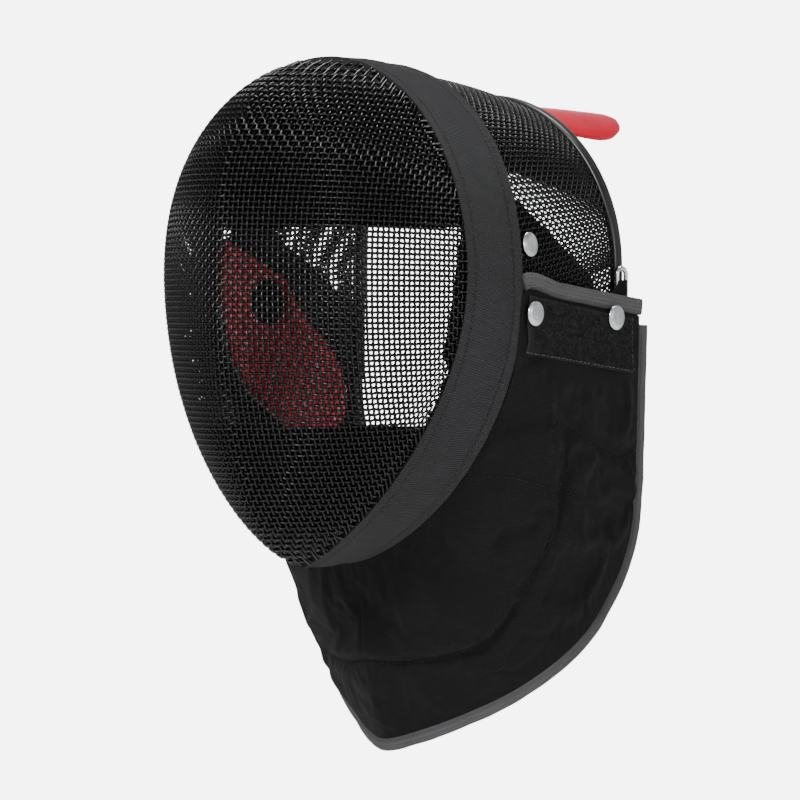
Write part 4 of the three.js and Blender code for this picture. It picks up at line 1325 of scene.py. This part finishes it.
def pad_mesh(cols, rows, surface, size, power=3.0):
    """A crowned closed pad: surface(u, v, depth) with depth 0 at its outer face and 1 at its inner face."""
    bm = bmesh.new()
    for face_side in (0, 1):
        def skin(u, v):
            a, b = 2 * u - 1, 2 * v - 1
            full = (max(0, 1 - abs(a) ** (2 * power)) * max(0, 1 - abs(b) ** (2 * power))) ** 0.5
            crown = 0.82 + 0.18 * (1 - a * a) * (1 - b * b)
            return surface(u, v, 0.02 + full * (0.98 * crown if face_side else -0.02))
        half = mapped_grid(cols, rows, skin, size)
        mesh = bpy.data.meshes.new("half")
        half.to_mesh(mesh)
        half.free()
        bm.from_mesh(mesh)
        bpy.data.meshes.remove(mesh)
    closed_out(bm)
    return bm


def face_pad_surface(low, high, inset, wall, spread):
    def surface(u, v, depth):
        side = mix(-spread, spread, u)
        level = mix(low, high, v)
        here = inset + wall * depth
        spot = front_point(min(0.999, max(-0.999, front_height(level, here))), side, here)
        spot.y += PAD_TUCK * smooth(abs(side), 0.92, 1) * 0.001
        return spot
    return surface


class MASK_OT_face_pads(bpy.types.Operator):
    """Makes the forehead pad and the chin pad"""
    bl_idname = "mask.face_pads"
    bl_label = "Forehead and chin pads"

    def execute(self, context):
        finish = woven_finish("pad_cloth", settings().cloth.pad, 0.0014)
        for name, node, values in (
            ("forehead_cushion", "forehead_pad", (41, 117, WIRE_WALL + 0.6, 12, 1)),
            ("chin_cushion", "chin_pad", (-128, -70, 3, 9, 1)),
        ):
            bm = pad_mesh(90, 34, face_pad_surface(*values), (0.2, 0.07))
            obj = dress(object_of(name, bm, finish), "pad_black", node)
        return {"FINISHED"}


def cheek_outline(turn, sections):
    """Distance from the ear to an outline in a direction, in millimetres."""
    corners = [(front, level) for level, front, _ in sections]
    corners += [(back, level) for level, _, back in reversed(sections)]
    best = 0
    dx, dy = math.cos(turn), math.sin(turn)
    for (ax, ay), (bx, by) in zip(corners, corners[1:] + corners[:1]):
        ex, ey = bx - ax, by - ay
        cross = dx * ey - dy * ex
        if abs(cross) < 1e-9:
            continue
        px, py = ax - EAR_BACK, ay - EAR_LEVEL
        along = (px * ey - py * ex) / cross
        share = (px * dy - py * dx) / cross
        if along > 0 and -1e-9 <= share <= 1 + 1e-9:
            best = max(best, along)
    return best


def cheek_spot(turn, share, depth, sections):
    reach = sum(cheek_outline(turn + k * 0.04, sections) for k in (-2, -1, 0, 1, 2)) / 5
    reach = max(reach, EAR_RADIUS + 2.5)
    radius = mix(EAR_RADIUS, reach, share)
    back, level = EAR_BACK + radius * math.cos(turn), EAR_LEVEL + radius * math.sin(turn)
    return place(wall_half_width(back, level, CHEEK_INSET + CHEEK_WALL * depth), back, level)


def cheek_ring(sections, outer, inner):
    """A crowned ring round the ear hole, between two depths and inside an outline."""
    def surface(u, v):
        ring = math.tau * v
        depth = mix(outer, inner, 0.5 + 0.5 * squarer(math.sin(ring), 0.4))
        return cheek_spot(math.tau * u, 0.5 - 0.5 * math.cos(ring), depth, sections)
    bm = mapped_grid(144, 40, surface, joined=True)
    layer = bm.loops.layers.uv["UVMap"]
    for face in bm.faces:
        for loop in face.loops:
            loop[layer].uv = (loop.vert.co.y, loop.vert.co.z)
    closed_out(bm)
    return bm


class MASK_OT_cheek_pads(bpy.types.Operator):
    """Makes the cheek pads: a black base and a red quilted panel round the ear hole, with piping"""
    bl_idname = "mask.cheek_pads"
    bl_label = "Cheek pads"

    def execute(self, context):
        cloth = settings().cloth
        black = woven_finish("cheek_base_cloth", cloth.pad, 0.0012)
        bm = cheek_ring(CHEEK_SECTIONS, 0, 0.6)
        for base in both_sides("cheek_base", bm, black, "pad_black", "cheek_pad"):
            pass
        red = quilted_finish("cheek_cloth", cloth.cheek, cloth.piping, 0.013, 0.0042)
        for panel in both_sides("cheek_panel", cheek_ring(CHEEK_PANEL, 0.3, 1.15), red, "pad_red", None):
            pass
        line = [cheek_spot(math.tau * i / 200, 1.01, 0.62, CHEEK_PANEL) for i in range(200)]
        pale = woven_finish("piping_cloth", cloth.piping, 0.0008)
        dress(rods("cheek_piping", [(line, True), (other_side(line), True)], 0.8, pale, 2), "pad_red")
        return {"FINISHED"}


class MASK_OT_liners(bpy.types.Operator):
    """Makes the crown pad and the side linings of the hood"""
    bl_idname = "mask.liners"
    bl_label = "Crown pad and linings"

    def execute(self, context):
        def crown(u, v, depth):
            along = mix(CROWN_FROM, CROWN_TO, v)
            angle = (2 * u - 1) * mix(CROWN_SIDE_FRONT, CROWN_SIDE_REAR, along)
            return hood_point(angle, along, LINER_INSET + CROWN_WALL * depth)

        def lining(u, v, depth):
            along = mix(LINING_FROM, LINING_TO, v)
            angle = mix(mix(LINING_TOP_FRONT, LINING_TOP_REAR, along), HOOD_LIMIT - 1, u)
            return hood_point(angle, along, LINER_INSET + LINING_WALL * depth)
        black = woven_finish("liner_cloth", settings().cloth.pad, 0.0012)
        pad = object_of("crown_cushion", pad_mesh(90, 40, crown, (0.24, 0.085)), black)
        dress(pad, "pad_black", "crown_pad")
        bm = pad_mesh(50, 50, lining, (0.11, 0.09), 6)
        for side in both_sides("side_liner", bm, black, "pad_black", "side_lining"):
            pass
        return {"FINISHED"}


# Stage

def aimed(name, data, spot):
    """A lamp or camera that looks from a spot at the mask."""
    obj = bpy.data.objects.new(name, data)
    bpy.context.scene.collection.objects.link(obj)
    obj.location = spot
    obj.rotation_euler = (AIM - spot).to_track_quat("-Z", "Y").to_euler()
    return obj


class MASK_OT_stage(bpy.types.Operator):
    """Makes the pale floor and backdrop, the soft lights and the camera"""
    bl_idname = "mask.stage"
    bl_label = "Stage"

    def execute(self, context):
        stage = settings().stage
        scene = context.scene
        turn = math.radians(VIEW_TURN)
        right = Vector((math.cos(turn), math.sin(turn), 0))
        away = Vector((-math.sin(turn), math.cos(turn), 0))

        profile = [(0, 0), (4, 0), (12, 0), (16, 0.3), (19, 1.4), (21, 3.2), (22, 6), (22.5, 12)]
        bm = spun([(out, FLOOR_LEVEL + high) for out, high in profile], 72)
        turn_out(bm, Vector((0, 0, -40)))
        paper = Finish("backdrop_paper", 0.95, Specular_IOR_Level=0.1)
        paper.shader.inputs["Emission Color"].default_value = (1, 1, 1, 1)
        heading = paper.add("ShaderNodeVectorMath", {"operation": "NORMALIZE"}, _0=paper.spot())
        ahead = paper.add("ShaderNodeVectorMath", {"operation": "DOT_PRODUCT"}, 1, _0=heading, _1=tuple(away))
        lit = paper.add("ShaderNodeMapRange", {"interpolation_type": "SMOOTHSTEP"},
                        _0=ahead, _1=0.97, _2=0.9972, _3=stage.glow * 0.03, _4=stage.glow)
        paper.links.new(lit, paper.shader.inputs["Emission Strength"])
        grain = paper.noise(paper.spot(), 12, 3)
        paper.colour(paper.shades(grain, stage.paper, (0.3, 0.99), (0.7, 1)))
        object_of("floor_and_backdrop", bm, paper.material)

        world = bpy.data.worlds.new("studio")
        world.use_nodes = True
        background = world.node_tree.nodes["Background"]
        background.inputs["Color"].default_value = (1, 1, 1, 1)
        background.inputs["Strength"].default_value = stage.daylight
        scene.world = world

        for name, nearer, aside, up, share, size in (
            ("key", 1.5, -1.2, 1.3, 1, 0.45),
            ("fill", 1.6, 1.5, 0.5, 0.35, 0.6),
            ("top", -0.5, 0.3, 1.8, 0.5, 0.6),
        ):
            lamp = bpy.data.lights.new(name, "AREA")
            lamp.energy = stage.key * share
            lamp.size = size
            aimed(name, lamp, AIM - away * nearer + right * aside + Vector((0, 0, up)))

        camera = bpy.data.cameras.new("camera")
        camera.sensor_width = SENSOR
        camera.lens = SENSOR * (stage.distance * 1000 - FACE_NEARER) * PHOTO_PIXELS_PER_MM / PHOTO_WIDTH
        camera.clip_end = 80
        eye = AIM - away * stage.distance
        eye.z = EYE_LEVEL
        scene.camera = aimed("camera", camera, eye)
        return {"FINISHED"}


class MASK_PT_panel(bpy.types.Panel):
    """Lists the mask's pieces in the sidebar"""
    bl_label = "Fencing mask"
    bl_idname = "MASK_PT_panel"
    bl_space_type = "VIEW_3D"
    bl_region_type = "UI"
    bl_category = "Fencing mask"

    def draw(self, context):
        for operator in OPERATORS:
            self.layout.operator(operator.bl_idname)


OPERATORS = (
    MASK_OT_stage, MASK_OT_front_wires, MASK_OT_hood_wires, MASK_OT_seam_band, MASK_OT_rear_rim,
    MASK_OT_spring_tongue, MASK_OT_bib, MASK_OT_bib_binding, MASK_OT_bib_tapes, MASK_OT_loop_patches,
    MASK_OT_snap_caps, MASK_OT_strap_rings, MASK_OT_face_pads, MASK_OT_liners, MASK_OT_cheek_pads,
)
CLASSES = (WireSettings, ClothSettings, HardSettings, StageSettings, MaskSettings, *OPERATORS, MASK_PT_panel)


def register():
    for item in CLASSES:
        bpy.utils.register_class(item)
    bpy.types.Scene.fencing_mask = PointerProperty(type=MaskSettings)


def unregister():
    del bpy.types.Scene.fencing_mask
    for item in reversed(CLASSES):
        bpy.utils.unregister_class(item)


def main():
    register()
    for operator in OPERATORS:
        group, name = operator.bl_idname.split(".")
        getattr(getattr(bpy.ops, group), name)()


if __name__ == "__main__":
    main()
